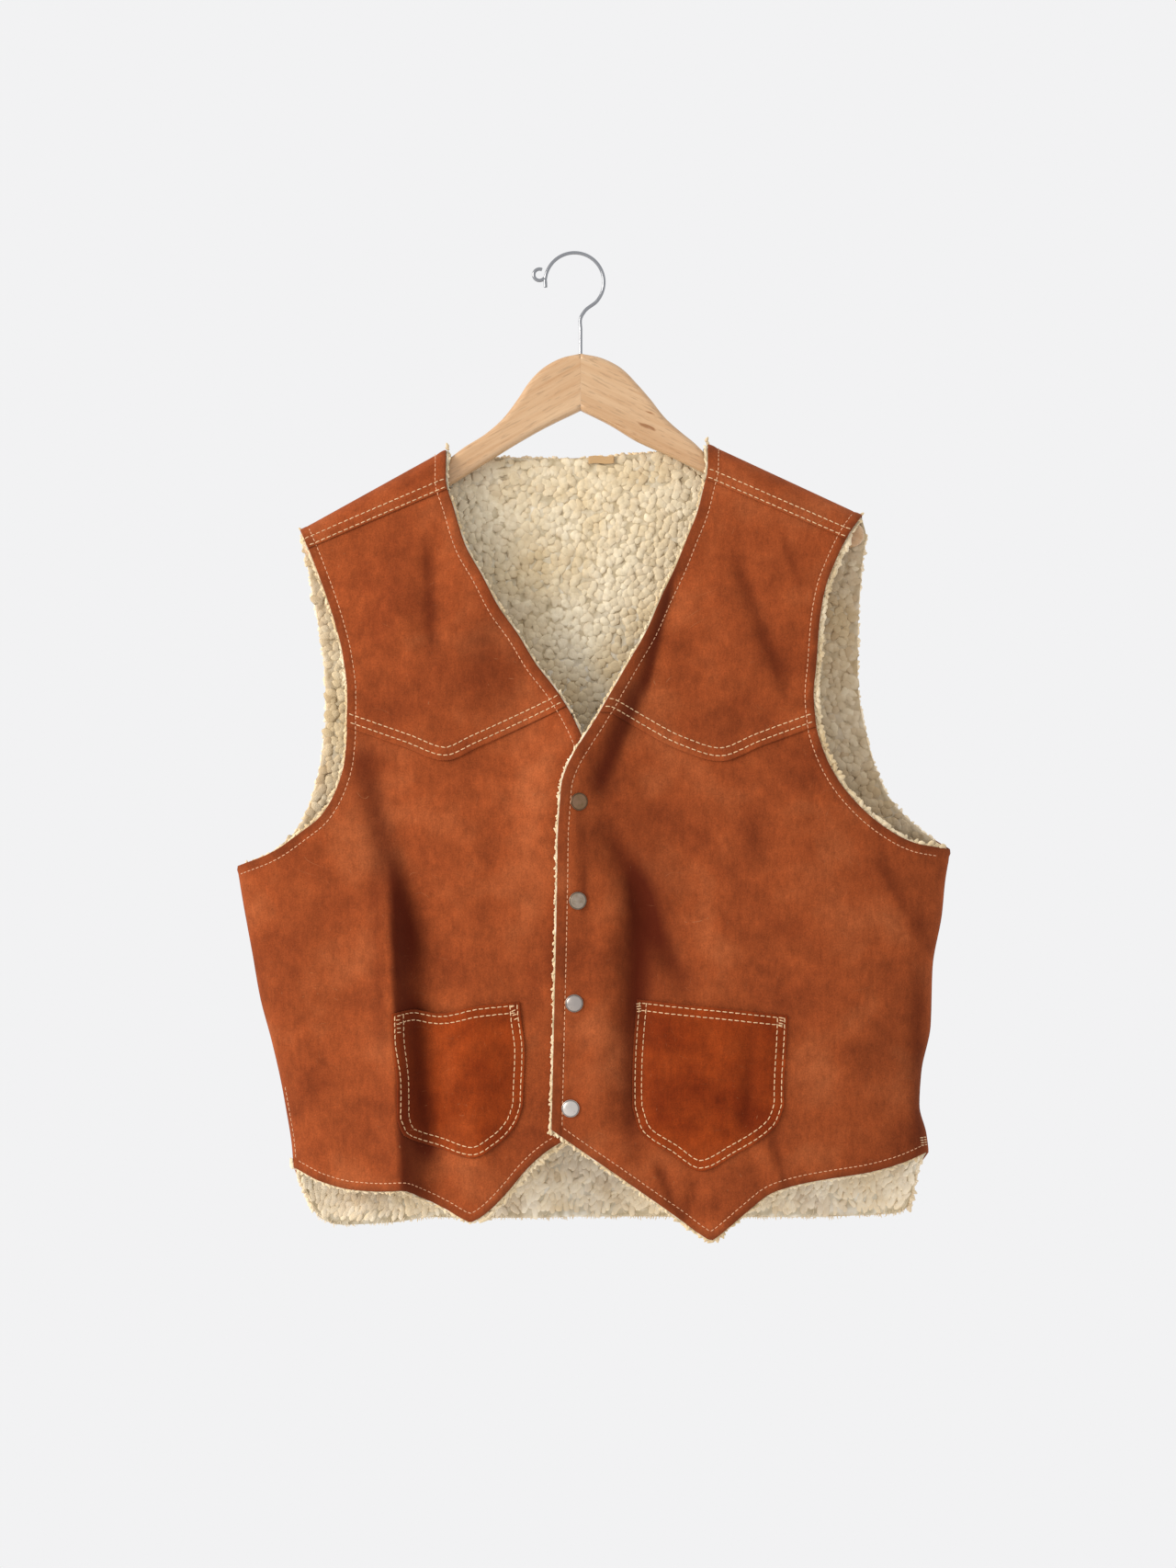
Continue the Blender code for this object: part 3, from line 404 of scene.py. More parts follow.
# A fold runs between two places: x, down, x and down, then its width on its two sides, -x
# first, and its lift towards the viewer, which is negative where it sinks.
FOLD_RISES_BY = 0.3
FOLD_FALLS_OVER = (0.85, 1.1)
FRONT_FOLDS = (
    (-158, 400, -139, 500, 17, 17, -4.5),
    (-134, 440, -113, 790, 11, 30, -12.0),
    (-150, 470, -137, 790, 30, 7, 9.5),
    (-92, 600, -88, 790, 24, 24, 3.0),
    (-118, 225, -116, 315, 14, 14, -3.0),
    (-146, 262, -145, 315, 14, 14, 2.5),
    (-215, 500, -222, 700, 22, 22, 2.5),
    (14, 440, 84, 580, 12, 14, -6.5),
    (50, 480, 47, 700, 13, 13, -8.5),
    (26, 500, 16, 700, 14, 9, 3.0),
    (92, 235, 34, 400, 8, 11, -4.0),
    (122, 225, 172, 350, 12, 12, -3.5),
    (262, 590, 266, 690, 16, 16, -4.0),
    (215, 520, 224, 700, 26, 26, 3.0),
    (118, 700, 116, 800, 16, 16, 2.5),
    (-66, 235, -58, 315, 9, 9, -1.6),
    (-168, 560, -160, 760, 9, 12, -1.6),
    (62, 716, 82, 768, 4, 6, -2.2),
    (100, 734, 84, 776, 4, 5, -2.0),
    (112, 722, 116, 768, 4, 4, -1.4),
    (132, 716, 152, 744, 4, 6, -1.4),
    (155, 700, 170, 748, 4, 5, -2.2),
    (140, 612, 137, 700, 7, 7, -2.6),
)
BACK_FOLDS_START = (40.0, 200.0)
BACK_FOLDS = (
    (-130, 330, -118, 790, 30, 30, 5.0),
    (-66, 420, -74, 790, 26, 26, -4.0),
    (20, 300, 12, 790, 34, 34, 4.0),
    (92, 430, 96, 790, 26, 26, -4.5),
    (168, 340, 158, 790, 30, 30, 5.0),
    (-176, 560, -170, 790, 18, 18, -3.0),
    (-20, 560, -34, 760, 8, 14, -1.8),
    (60, 250, 84, 380, 10, 14, -1.5),
    (-150, 420, -120, 520, 8, 12, -1.6),
)
EDGE_ROLL = dict(down=(156, 240, 320, 390, 437, 500, 600, 710), lift=(0, 2, 7, 12, 13, 7, 3.5, 2))
EDGE_ROLL_WIDTH = 32.0
UNDERLAP_STEP = SUEDE + GAP + PRESSED_PILE + GAP + 1.1
UNDERLAP_FADES = (-110.0, -28.0)
UNDERLAP_STARTS = (250.0, 350.0)
WAVINESS = dict(size=(75, 31, 13), depth=(1.5, 0.75, 0.25))


def through(table_at, table_value, at):
    """Smooth curve through a table's points that never swings past them.

    A cubic on each interval, whose slope at a point is the harmonic mean of the slopes on
    its two sides, or level where they differ in sign. Past its ends it stays level."""
    known = np.array(table_at, float)
    value = np.array(table_value, float)
    step = np.diff(known)
    rise = np.diff(value) / step
    slope = np.concatenate(([rise[0]], np.zeros(len(rise) - 1), [rise[-1]]))
    same_way = rise[:-1] * rise[1:] > 0
    total = np.where(same_way, rise[:-1] + rise[1:], 1.0)
    slope[1:-1] = np.where(same_way, 2 * rise[:-1] * rise[1:] / total, 0.0)
    inside = np.clip(at, known[0], known[-1])
    cell = np.clip(np.searchsorted(known, inside, side="right") - 1, 0, len(step) - 1)
    part = (inside - known[cell]) / step[cell]
    start = (1 + 2 * part) * (1 - part) ** 2 * value[cell]
    end = part ** 2 * (3 - 2 * part) * value[cell + 1]
    leave = part * (1 - part) ** 2 * step[cell] * slope[cell]
    arrive = part ** 2 * (part - 1) * step[cell] * slope[cell + 1]
    return start + end + leave + arrive


def soft_step(value, low, high):
    """0 below low, 1 above high, with a smooth rise between."""
    part = np.clip((value - low) / (high - low), 0, 1)
    return part ** 2 * (3 - 2 * part)


def hills(x, down, size, seed):
    """Smooth noise between -1 and 1: random heights on a square lattice of the given size,
    blended by a soft step between its corners."""
    height = np.random.default_rng(seed).uniform(-1, 1, (64, 64))
    u, v = x / size, down / size
    i, j = np.floor(u).astype(int), np.floor(v).astype(int)
    p, q = soft_step(u - i, 0, 1), soft_step(v - j, 0, 1)
    i, j, k, m = i % 64, j % 64, (i + 1) % 64, (j + 1) % 64
    return ((height[i, j] * (1 - p) + height[k, j] * p) * (1 - q)
            + (height[i, m] * (1 - p) + height[k, m] * p) * q)


def scattered(x, down, size, seed):
    """Distance to the nearest and to the second nearest of points scattered one to each
    square cell, in cells."""
    spot = np.random.default_rng(seed).uniform(0.1, 0.9, (128, 128, 2))
    u, v = x / size, down / size
    i, j = np.floor(u).astype(int), np.floor(v).astype(int)
    first = np.full(u.shape, 9.0)
    second = first.copy()
    for across in (-1, 0, 1):
        for along in (-1, 0, 1):
            near = spot[(i + across) % 128, (j + along) % 128]
            far = np.hypot(i + across + near[..., 0] - u, j + along + near[..., 1] - v)
            second = np.minimum(second, np.maximum(first, far))
            first = np.minimum(first, far)
    return first, second


def line_drop(table):
    """The drop of a cross line as a function of x."""
    return lambda x: through(table["x"], table["down"], x)


def edge_x(table):
    """The x of an upright edge as a function of the drop."""
    return lambda down: through(table["down"], table["x"], down)


def shoulder_drop(x):
    """Drop of the shoulder line over x: two straight slopes that go on past their ends."""
    drops = []
    for side in OUTWARD:
        line = SHOULDER_LINE[side]
        drops.append(line["down"][0] + shoulder_slope(side) * (x - line["x"][0]))
    return np.where(x < 0, drops[0], drops[1])


def front_outer(side):
    """A front's outer edge: its armhole, then its side seam."""
    outline = OUTLINE[side]
    return lambda down: np.where(down < outline["side"]["down"][0], edge_x(outline["armhole"])(down),
                                 edge_x(outline["side"])(down))


def back_outer(side):
    """The back's outer edge: its armhole, the side seam and the longer tail below it."""
    outline = OUTLINE[side]

    def edge(down):
        upper = np.where(down < outline["side"]["down"][0], edge_x(outline["back_armhole"])(down),
                         edge_x(outline["side"])(down))
        return np.where(down > outline["side"]["down"][-1], edge_x(outline["back_tail"])(down), upper)
    return edge


def side_reach(x, down):
    """Distance from x out to the side of the hanging tube."""
    reach = []
    for side in OUTWARD:
        seam = OUTLINE[side]["side"]
        past = np.interp(down, (seam["down"][0] - REACH_NARROWS_OVER, seam["down"][0]),
                         (SHOULDER_REACH, abs(seam["x"][0])))
        reach.append(np.where(down < seam["down"][0], past, np.abs(edge_x(seam)(down))))
    return np.maximum(np.where(x < 0, reach[0], reach[1]) - np.abs(x), 0)


def fold_lift(folds, x, down):
    """Sum of the folds: each a bell across its line that fades towards both ends."""
    total = np.zeros(np.shape(x))
    for from_x, from_down, to_x, to_down, near_width, far_width, lift in folds:
        run_x, run_down = to_x - from_x, to_down - from_down
        length = math.hypot(run_x, run_down)
        along = ((x - from_x) * run_x + (down - from_down) * run_down) / length ** 2
        across = ((x - from_x) * run_down - (down - from_down) * run_x) / length
        ends = soft_step(along, 0, FOLD_RISES_BY) * (1 - soft_step(along, *FOLD_FALLS_OVER))
        width = np.where(across < 0, near_width, far_width)
        total = total + lift * ends * np.exp(-(across / width) ** 2)
    return total


def hanging_depth(x, down, fill, rounds_over):
    """Depth of the tube's wall away from y = 0: a quarter circle over the shoulder, then the
    slow fill below it, drawn in towards the side seams along a quarter ellipse."""
    below = np.maximum(down - shoulder_drop(x), 0)
    unturned = np.maximum(SHOULDER_RADIUS - below, 0)
    depth = np.sqrt(SHOULDER_RADIUS ** 2 - unturned ** 2) + through(fill["below"], fill["depth"], below)
    inward = np.clip(side_reach(x, down) / rounds_over, 0, 1)
    settled = soft_step(below, *SIDE_SETTLES_OVER)
    return depth, 1 + (np.sqrt(1 - (1 - inward) ** 2) - 1) * settled, SIDE_SEAM_DEPTH * settled


def waves(x, down, seed):
    """Soft unevenness of hide that has been worn."""
    return sum(depth * hills(x, down, size, seed + k)
               for k, (size, depth) in enumerate(zip(WAVINESS["size"], WAVINESS["depth"])))


def front_depth(side, x, down):
    """y of the front surface; the right front steps back where it passes under the left."""
    depth, roundness, seam = hanging_depth(x, down, FRONT_FILL, FRONT_ROUNDS_OVER)
    edge = edge_x(OUTLINE["left"]["neck_edge"])(down)
    roll = through(EDGE_ROLL["down"], EDGE_ROLL["lift"], down)
    roll = roll * np.exp(-((x - edge) / EDGE_ROLL_WIDTH) ** 2)
    settled = soft_step(down - shoulder_drop(x), 10, 60)
    lifted = roll + fold_lift(FRONT_FOLDS, x, down) + waves(x, down, 21) * settled
    y = seam - (depth + seam + lifted) * roundness
    if side == "right":
        y = y + UNDERLAP_STEP * soft_step(x, *UNDERLAP_FADES) * soft_step(down, *UNDERLAP_STARTS)
    return y


def back_depth(x, down):
    """y of the back surface."""
    depth, roundness, seam = hanging_depth(x, down, BACK_FILL, BACK_ROUNDS_OVER)
    below = down - shoulder_drop(x)
    lifted = (fold_lift(BACK_FOLDS, x, down) + waves(x, down, 41)) * soft_step(below, *BACK_FOLDS_START)
    return seam + (depth - seam + lifted) * roundness


def surface(depth_of, x, down, facing):
    """Points and outward normals of a surface y(x, down); facing is -1 for the front and 1
    for the back. A point y deep that covers (x, down) from the eye lies nearer the line of
    sight by y over the eye's distance."""
    y = depth_of(x, down)
    nudge = 0.05
    slope_x = (depth_of(x + nudge, down) - depth_of(x - nudge, down)) / (2 * nudge)
    slope_down = (depth_of(x, down + nudge) - depth_of(x, down - nudge)) / (2 * nudge)
    normal = unit(np.stack((-slope_x, np.ones_like(y), slope_down), axis=-1) * facing)
    nearer = 1 + y / EYE["distance"]
    point = np.stack((EYE["x"] + (x - EYE["x"]) * nearer, y,
                      -EYE["down"] - (down - EYE["down"]) * nearer), axis=-1)
    return point, normal


def front_surface(side, x, down):
    """Points and outward normals of a front, without its laps and seams."""
    return surface(partial(front_depth, side), x, down, -1)


def back_surface(x, down):
    """Points and outward normals of the back, without its seams."""
    return surface(back_depth, x, down, 1)


def spread(near, far, count):
    """Places across a sheet: millimetres in from one edge, count more that are evenly spread,
    and millimetres in from the other edge, each list counted from its edge inwards. Gives the
    share of the way and the millimetres."""
    near = np.array(near, float)
    far = np.array(far, float)[::-1]
    part = np.linspace(0, 1, count + 2)[1:-1]
    share = np.concatenate((0 * near, part, 1 + 0 * far))
    added = np.concatenate((near, near[-1] * (1 - part) - far[0] * part, -far))
    return share, added


GRID_ROUNDS = 34
MOST_LEAN = 3
MOST_OUTER_LEAN = 1.4
MOST_TILT = 1.3


def grid_between(inner, outer, lines, across, along):
    """Grid of places between two upright edges and a first and last cross line.

    A column lies a share of the way from the inner to the outer edge, with millimetres added
    square to the edge; a row does so between two of the lines. Rows and columns lean on each
    other, so the drops are worked out by rounds that halve what is left."""
    share, inset = across
    row, drop = along[0][:, None], along[1][:, None]
    cell = np.minimum(row.astype(int), len(lines) - 2)
    part = row - cell
    middle_drop = 400.0
    down = np.full((len(row), len(share)), middle_drop)
    for _ in range(GRID_ROUNDS):
        near, far = inner(down), outer(down)
        side = np.sign(np.mean(far - near))
        lean_near = np.minimum(np.hypot(1, inner(down + 1) - near), MOST_LEAN)
        lean_far = np.minimum(np.hypot(1, outer(down + 1) - far), MOST_OUTER_LEAN)
        lean = lean_near + share * (lean_far - lean_near)
        x = near + share * (far - near) + inset * lean * side
        at = np.stack([line(x) for line in lines])
        slope = np.stack([line(x + 1) for line in lines]) - at
        which = np.broadcast_to(cell, down.shape)[None]
        above, under = (np.take_along_axis(at, which + k, 0)[0] for k in (0, 1))
        slope_above, slope_under = (np.take_along_axis(slope, which + k, 0)[0] for k in (0, 1))
        tilt = np.minimum(np.hypot(1, slope_above + part * (slope_under - slope_above)), MOST_TILT)
        down = 0.5 * down + 0.5 * (above + part * (under - above) + drop * tilt)
    return x, down


def rows_between(pieces):
    """Rows of a grid in pieces, one for each pair of cross lines: each is what spread gives.
    The row that ends one piece begins the next, so it is kept once."""
    share, added = pieces[0]
    for number, (more_share, more_added) in enumerate(pieces[1:], 1):
        share = np.concatenate((share[:-1], number + more_share))
        added = np.concatenate((added[:-1], more_added))
    return share, added


def wall(outer, inner, keep=None):
    """Points and faces of a closed wall between two grids of points. keep marks the cells
    that are cloth; the wall has a rim wherever they end."""
    rows, columns = outer.shape[:2]
    if keep is None:
        keep = np.ones((rows - 1, columns - 1), bool)
    count = rows * columns
    number = np.arange(count).reshape(rows, columns)
    i, j = np.nonzero(keep)
    quads = [np.stack((number[i, j], number[i, j + 1], number[i + 1, j + 1], number[i + 1, j]), axis=1)]
    quads.append(quads[0][:, ::-1] + count)
    inside = np.pad(keep, 1)
    for away, first, second in (((0, 1), (0, 0), (0, 1)), ((1, 2), (0, 1), (1, 1)),
                                ((2, 1), (1, 1), (1, 0)), ((1, 0), (1, 0), (0, 0))):
        beyond = inside[away[0]:away[0] + rows - 1, away[1]:away[1] + columns - 1]
        i, j = np.nonzero(keep & ~beyond)
        a = number[i + first[0], j + first[1]]
        b = number[i + second[0], j + second[1]]
        quads.append(np.stack((b, a, a + count, b + count), axis=1))
    quads = np.concatenate(quads)
    used, faces = np.unique(quads, return_inverse=True)
    points = np.concatenate((outer.reshape(-1, 3), inner.reshape(-1, 3)))[used]
    return points, faces.reshape(quads.shape).tolist(), used % count


PLACES_APART = 1.5
THINNEST = 0.12


def down_edge(edge, start, stop):
    """Places at even steps down an upright edge."""
    down = np.linspace(start, stop, math.ceil((stop - start) / PLACES_APART))
    return np.stack((edge(down), down), axis=1)


def along_line(line, start, stop):
    """Places at even steps along a cross line."""
    x = np.linspace(start, stop, math.ceil((stop - start) / PLACES_APART))
    return np.stack((x, line(x)), axis=1)


def distance_to(places, x, down):
    """Distance of each (x, down) from a line of places, by the nearest of its stretches."""
    start, run = places[:-1], np.diff(places, axis=0)
    length = (run ** 2).sum(axis=1)
    spots = np.stack((np.ravel(x), np.ravel(down)), axis=1)
    nearest = []
    for block in np.array_split(spots, max(1, len(spots) // 4000)):
        ahead = block[:, None] - start
        part = np.clip((ahead * run).sum(axis=2) / length, 0, 1)
        nearest.append(np.linalg.norm(ahead - part[..., None] * run, axis=2).min(axis=1))
    return np.concatenate(nearest).reshape(np.shape(x))


def nearest(lines, x, down):
    """Distance from each place to the nearest of several lines."""
    return np.min([distance_to(line, x, down) for line in lines], axis=0)


def rounded(distance, radius):
    """How full a wall is near its edge: along a quarter circle, and never quite down to 0."""
    return np.maximum(np.sqrt(1 - (1 - np.clip(distance / radius, 0, 1)) ** 2), THINNEST)


def moved(edge, outward, margin, fades=None):
    """An upright edge moved out square to itself, by a margin that fades to nothing between
    two drops."""
    def shifted(down):
        lean = np.minimum(np.hypot(1, edge(down + 1) - edge(down)), MOST_LEAN)
        left = 1 - soft_step(down, *fades) if fades else 1
        return edge(down) + outward * margin * lean * left
    return shifted


def lowered(line, margin):
    """A cross line moved down square to itself."""
    def shifted(x):
        return line(x) + margin * np.minimum(np.hypot(1, line(x + 1) - line(x)), MOST_TILT)
    return shifted


MARGIN_FADES = (24, 2)


def margin_fades(side):
    """Drops between which what stands past the armhole's edge dies away, above the underarm."""
    return tuple(OUTLINE[side]["side"]["down"][0] - above for above in MARGIN_FADES)


def front_edges(side, past):
    """Inner edge, outer edge and hem of a front, the free ones moved out past the suede's."""
    outline = OUTLINE[side]
    return (moved(edge_x(outline["neck_edge"]), -OUTWARD[side], past),
            moved(front_outer(side), OUTWARD[side], past, margin_fades(side)),
            lowered(line_drop(outline["hem"]), past))


def front_borders(side, past=0.0):
    """The free edges of a front as lines of places."""
    outline = OUTLINE[side]
    inner, outer, hem = front_edges(side, past)
    neck_top, foot = outline["neck_edge"]["down"][0], outline["side"]["down"][-1]
    ends = sorted((outline["hem"]["x"][0], outline["hem"]["x"][-1]))
    return dict(centre=down_edge(inner, neck_top - 6, 703 + past),
                armhole=down_edge(outer, outline["armhole"]["down"][0] - 3, outline["side"]["down"][0]),
                side=down_edge(outer, outline["side"]["down"][0], foot + 8),
                hem=along_line(hem, ends[0] - 2, ends[1] + 2))


SHOULDER_DROPS = tuple(SHOULDER_RADIUS * (1 - math.cos(turn)) for turn in np.linspace(0, math.pi / 2, 12))


BACK_SPANS = dict(strap=115, neck=192, upper=290, lower=270)


def back_neck(narrowed):
    """The back's neck line between the two neck points, which may stand nearer together."""
    middle = (BACK_NECK["x"][0] + BACK_NECK["x"][-1]) / 2
    half = BACK_NECK["x"][-1] - middle
    widened = half / (half - narrowed)
    return lambda x: through(BACK_NECK["x"], BACK_NECK["down"], middle + (x - middle) * widened)


def back_shell(past, near, spacing, neck_lower=0.0):
    """Grid of the back from the forward shoulder seams, over the shoulders and down: its
    places, the depth function of each row, and which cells are cloth. Straps and back share
    their columns, and between the straps lies the open neck."""
    straps = {}
    for side in OUTWARD:
        inner, outer, _ = front_edges(side, past)
        across = spread(near, near, round(BACK_SPANS["strap"] / spacing))
        row_share, row_drop = spread(SHOULDER_DROPS[:8], (0.0, 0.5, 1.2, 2.0), 6)
        x, down = grid_between(inner, outer, [shoulder_drop, line_drop(OUTLINE[side]["seam"])],
                               across, (row_share, row_drop))
        straps[side] = (x[::-1], down[::-1])
    straps["right"] = tuple(grid[:, ::-1] for grid in straps["right"])
    neck_x = (BACK_NECK["x"][0] + past, BACK_NECK["x"][-1] - past)
    corner = np.array((0.7, 2.2, 4.4, 6.5))
    middle = np.linspace(neck_x[0] + 9, neck_x[1] - 9, round(BACK_SPANS["neck"] / spacing))
    top_x = np.concatenate((straps["right"][0][-1], neck_x[0] + corner, middle,
                            neck_x[1] - corner[::-1], straps["left"][0][-1]))
    outer = {side: moved(back_outer(side), OUTWARD[side], past, margin_fades(side)) for side in OUTWARD}
    share = (top_x - top_x[0]) / (top_x[-1] - top_x[0])
    neck = back_neck(past)

    def top(x):
        in_neck = (x > neck_x[0] + 0.01) & (x < neck_x[1] - 0.01)
        return np.where(in_neck, neck(x) + neck_lower, shoulder_drop(x))

    rows = rows_between([spread(SHOULDER_DROPS, (0.0,), round(BACK_SPANS["upper"] / spacing)),
                         spread((0.0,), near, round(BACK_SPANS["lower"] / spacing))])
    x, down = grid_between(outer["right"], outer["left"],
                           [top, line_drop(BACK_UNDERARM), lowered(line_drop(BACK_HEM), past)],
                           (share, 0 * share), rows)
    return straps, (x, down)


def join_back(straps, back, strap_part, back_part):
    """One array over straps and back. strap_part(side, x, down) and back_part(x, down) give
    the values; the cells between the straps are left out of the cloth."""
    rows = len(straps["right"][0]) - 1
    columns = back[0].shape[1]
    values = back_part(*back)
    upper = {side: strap_part(side, *straps[side]) for side in straps}
    joined = np.zeros((rows + len(values),) + values.shape[1:])
    joined[rows:] = values
    width = {side: straps[side][0].shape[1] for side in straps}
    places = dict(right=np.s_[:width["right"]], left=np.s_[columns - width["left"]:])
    for side in straps:
        joined[:rows, places[side]] = upper[side][:-1]
    keep = np.ones((len(joined) - 1, columns - 1), bool)
    keep[:rows, width["right"] - 1:columns - width["left"]] = False
    return joined, keep


def smooth_ridge(normals, straps):
    """Where the straps meet the back, on the shoulder line, both point straight up and out."""
    row = len(straps["right"][0]) - 1
    met = normals[row - 1:row + 2].sum(axis=0)
    normals[row] = unit(np.where(np.linalg.norm(met, axis=-1, keepdims=True) > 0.1, met, normals[row]))


def whole_back(straps, back, strap_face, face):
    """Straps and back in one: points, normals, a number, x and down at each place, and which
    cells are cloth. The two faces give points, normals and the number for their places."""
    def packed(face_of, *place):
        points, normals, number = face_of(*place)
        return np.concatenate((points, normals, np.stack((number, *place[-2:]), axis=-1)), axis=-1)
    joined, keep = join_back(straps, back, partial(packed, strap_face), partial(packed, face))
    points, normals = joined[..., :3], joined[..., 3:6]
    smooth_ridge(normals, straps)
    return points, normals, joined[..., 6], joined[..., 7], joined[..., 8], keep


def shell_of(points, normals, front_offset, thickness, keep=None):
    """Wall whose outer face is moved out along the normals and whose inner face lies a
    thickness behind it."""
    outer = points + normals * np.asarray(front_offset)[..., None]
    inner = outer - normals * np.asarray(thickness)[..., None]
    return wall(outer, inner, keep)


CLUMP = 8.5
PILE_ROUNDS_OVER = 2.6
LINING_SPACING = 3.9
LINING_NEAR = (0.0, 0.7, 1.6, 2.8, 4.5, 7.0)
BACK_LINING_NEAR = (0.0, 0.8, 2.0, 3.6, 6.0)
BACK_ARM_FADES = {"right": (465, 487), "left": (452, 474)}
BACK_ARM_RUN = {"right": (216, 489), "left": (204, 475.5)}
BACK_HEM_RUN = (-228, 275)
SHOULDER_PRESS = (5, 60)


def pile_relief(x, down):
    """Height of the pile's clumps: a dome over each scattered point, cut off half way to the
    next one, on ground warped by noise so that no clump is round."""
    bent_x = x + 3.5 * hills(x, down, 11, 61)
    bent_down = down + 3.5 * hills(x, down, 11, 62)
    first, second = scattered(bent_x, bent_down, CLUMP, 63)
    return np.clip((second - first) * 1.6, 0, 1) ** 0.6


def wool(name, seed, root, middle, tip, palest_lit):
    """Sheared acrylic sherpa: matt cream clumps, with yellower places where it has matted. The
    height mark paints light and shade: 0 is a shaded crevice and 0.75 a lit tip, and up to 1 is
    painted light where the pile lies deep in shade. The tone mark mixes in brown, for matting
    and for painted shade. Fine fibres show as grain."""
    cloth, shader = new_finish(name, Roughness=1.0, Specular_IOR_Level=0.1, Sheen_Weight=0.2,
                               Sheen_Roughness=0.6, Sheen_Tint=srgb("#F4E8D4"))
    place = add(cloth, "TexCoord").outputs["Object"]
    height = add(cloth, "Attribute", attribute_name="height").outputs["Fac"]
    shade = add(cloth, "Attribute", attribute_name="tone").outputs["Fac"]
    broad = add(cloth, "TexNoise", {"Vector": place, "Scale": 16.0 + seed, "Detail": 2.0})
    clump = add(cloth, "TexNoise", {"Vector": place, "Scale": 130.0, "Detail": 3.0, "Distortion": 0.6})
    fibre = add(cloth, "TexNoise", {"Vector": place, "Scale": 750.0, "Detail": 3.0, "Roughness": 0.7})
    lit = add(cloth, "Math", {0: height, 1: add(cloth, "Math", {0: clump.outputs["Fac"], 1: 0.5},
                                               operation="SUBTRACT").outputs[0]}, operation="ADD")
    # Colour by the height mark: painted shade in the crevices, painted light on the tips and deep in the V.
    tint = add(cloth, "ValToRGB", {"Fac": lit.outputs[0]},
               ramp=[(0.0, srgb(root)), (0.32, srgb(middle)), (0.7, srgb(tip)), (1.0, srgb(palest_lit))])
    matted = add(cloth, "ValToRGB", {"Fac": broad.outputs["Fac"]},
                 ramp=[(0.35, srgb("#E4D4B6")), (0.6, grey(1))])
    warm = add(cloth, "Mix", {0: 0.6, 6: tint.outputs[0], 7: matted.outputs[0]}, data_type="RGBA",
               blend_type="MULTIPLY")
    # Brown mixed in by the tone mark: matting, and painted shade in the armholes and under the right front's
    # hem.
    toned = add(cloth, "Mix", {0: shade, 6: warm.outputs[2], 7: srgb("#A07D56")}, data_type="RGBA")
    join(cloth, toned.outputs[2], shader, "Base Color")
    relief = add(cloth, "Bump", {"Strength": 0.55, "Distance": 0.0006, "Height": fibre.outputs["Fac"]})
    join(cloth, relief.outputs[0], shader, "Normal")
    return cloth


def pile_matting_and_shade(x, down):
    """Where the pile is browner: soft blots where it has matted, most of them low down by the
    hem, and painted shade just under the right front's hem and inside the armholes.
    """
    blots = soft_step(hills(x, down, 26, 71) + 0.5 * hills(x, down, 9, 72), 0.25, 0.9)
    # Painted shade just under the right front's hem.
    under_front = np.exp(-((x + 176) / 26) ** 2 - ((down - 752) / 13) ** 2)
    # The last term is painted shadow inside the armholes, above the underarm.
    return (blots * (0.10 + 0.25 * soft_step(down, 690, 760)) + 0.45 * under_front
            + 0.35 * soft_step(np.abs(x), 186, 205) * (1 - soft_step(down, 500, 520)))


def painted_light_on_pile(x, down):
    """Painted light on the pile where it lies deep in shade: low down behind the V, and behind the hem."""
    return (1.2 * np.exp(-((x - 4) / 46) ** 2 - ((down - 365) / 80) ** 2)
            + 0.7 * soft_step(down, 690, 730) * soft_step(x, -150, -90))


ground_wool = wool("sherpa pile", 0.0, "#A5957A", "#C4B69A", "#DACEB7", "#F0E7D6")


def standing(x, down):
    """How much of the back lining's pile stands: all of it, but half over the shoulders."""
    return 0.55 + 0.45 * soft_step(down - shoulder_drop(x), *SHOULDER_PRESS)


def make_lining(name, points, normals, x, down, borders, loose, keep=None):
    """A lining behind the suede: its face to the wearer is raised in clumps, and it is
    rounded over at its free edges. loose is 1 where the pile stands and 0 where it is pressed."""
    full = rounded(nearest(borders, x, down), PILE_ROUNDS_OVER)
    clumps = pile_relief(x, down)
    thickness = PRESSED_PILE + (PILE - PRESSED_PILE) * loose + 0.9 * (clumps - 0.6) * loose
    slim = thickness * (1 - full) / 2
    mesh_points, faces, used = shell_of(points, normals, -SUEDE - GAP - slim, thickness - 2 * slim, keep)
    # Marks for the finish: height paints shade in the crevices and painted light deep in the V and behind the
    # hem; tone carries matting and painted shade.
    piece = make_piece(name.replace("lining", "pile"), mesh_points, faces, ground_wool, [name],
                       dict(height=(clumps * 0.7 + 0.3 * painted_light_on_pile(x, down)).ravel()[used],
                            tone=pile_matting_and_shade(x, down).ravel()[used]))


for side, area in (("right", 0.118), ("left", 0.130)):
    inner, outer, hem = front_edges(side, PILE_SHOWS)
    outline = OUTLINE[side]
    rows = rows_between([spread((0.8,), (0.0,), 44), spread((0.0,), (0.0,), 26),
                         spread((0.0,), LINING_NEAR, 62)])
    lines = [line_drop(outline[name]) for name in ("seam", "yoke", "underarm")] + [hem]
    x, down = grid_between(inner, outer, lines, spread(LINING_NEAR, LINING_NEAR, 58), rows)
    points, normals = front_surface(side, x, down)
    borders = front_borders(side, PILE_SHOWS)
    free = [borders["centre"], borders["armhole"], borders["hem"]]
    loose = soft_step(distance_to(borders["centre"], x, down), *PRESSED_TO)
    make_lining("lining_front_" + side, points, normals, x, down, free, loose)

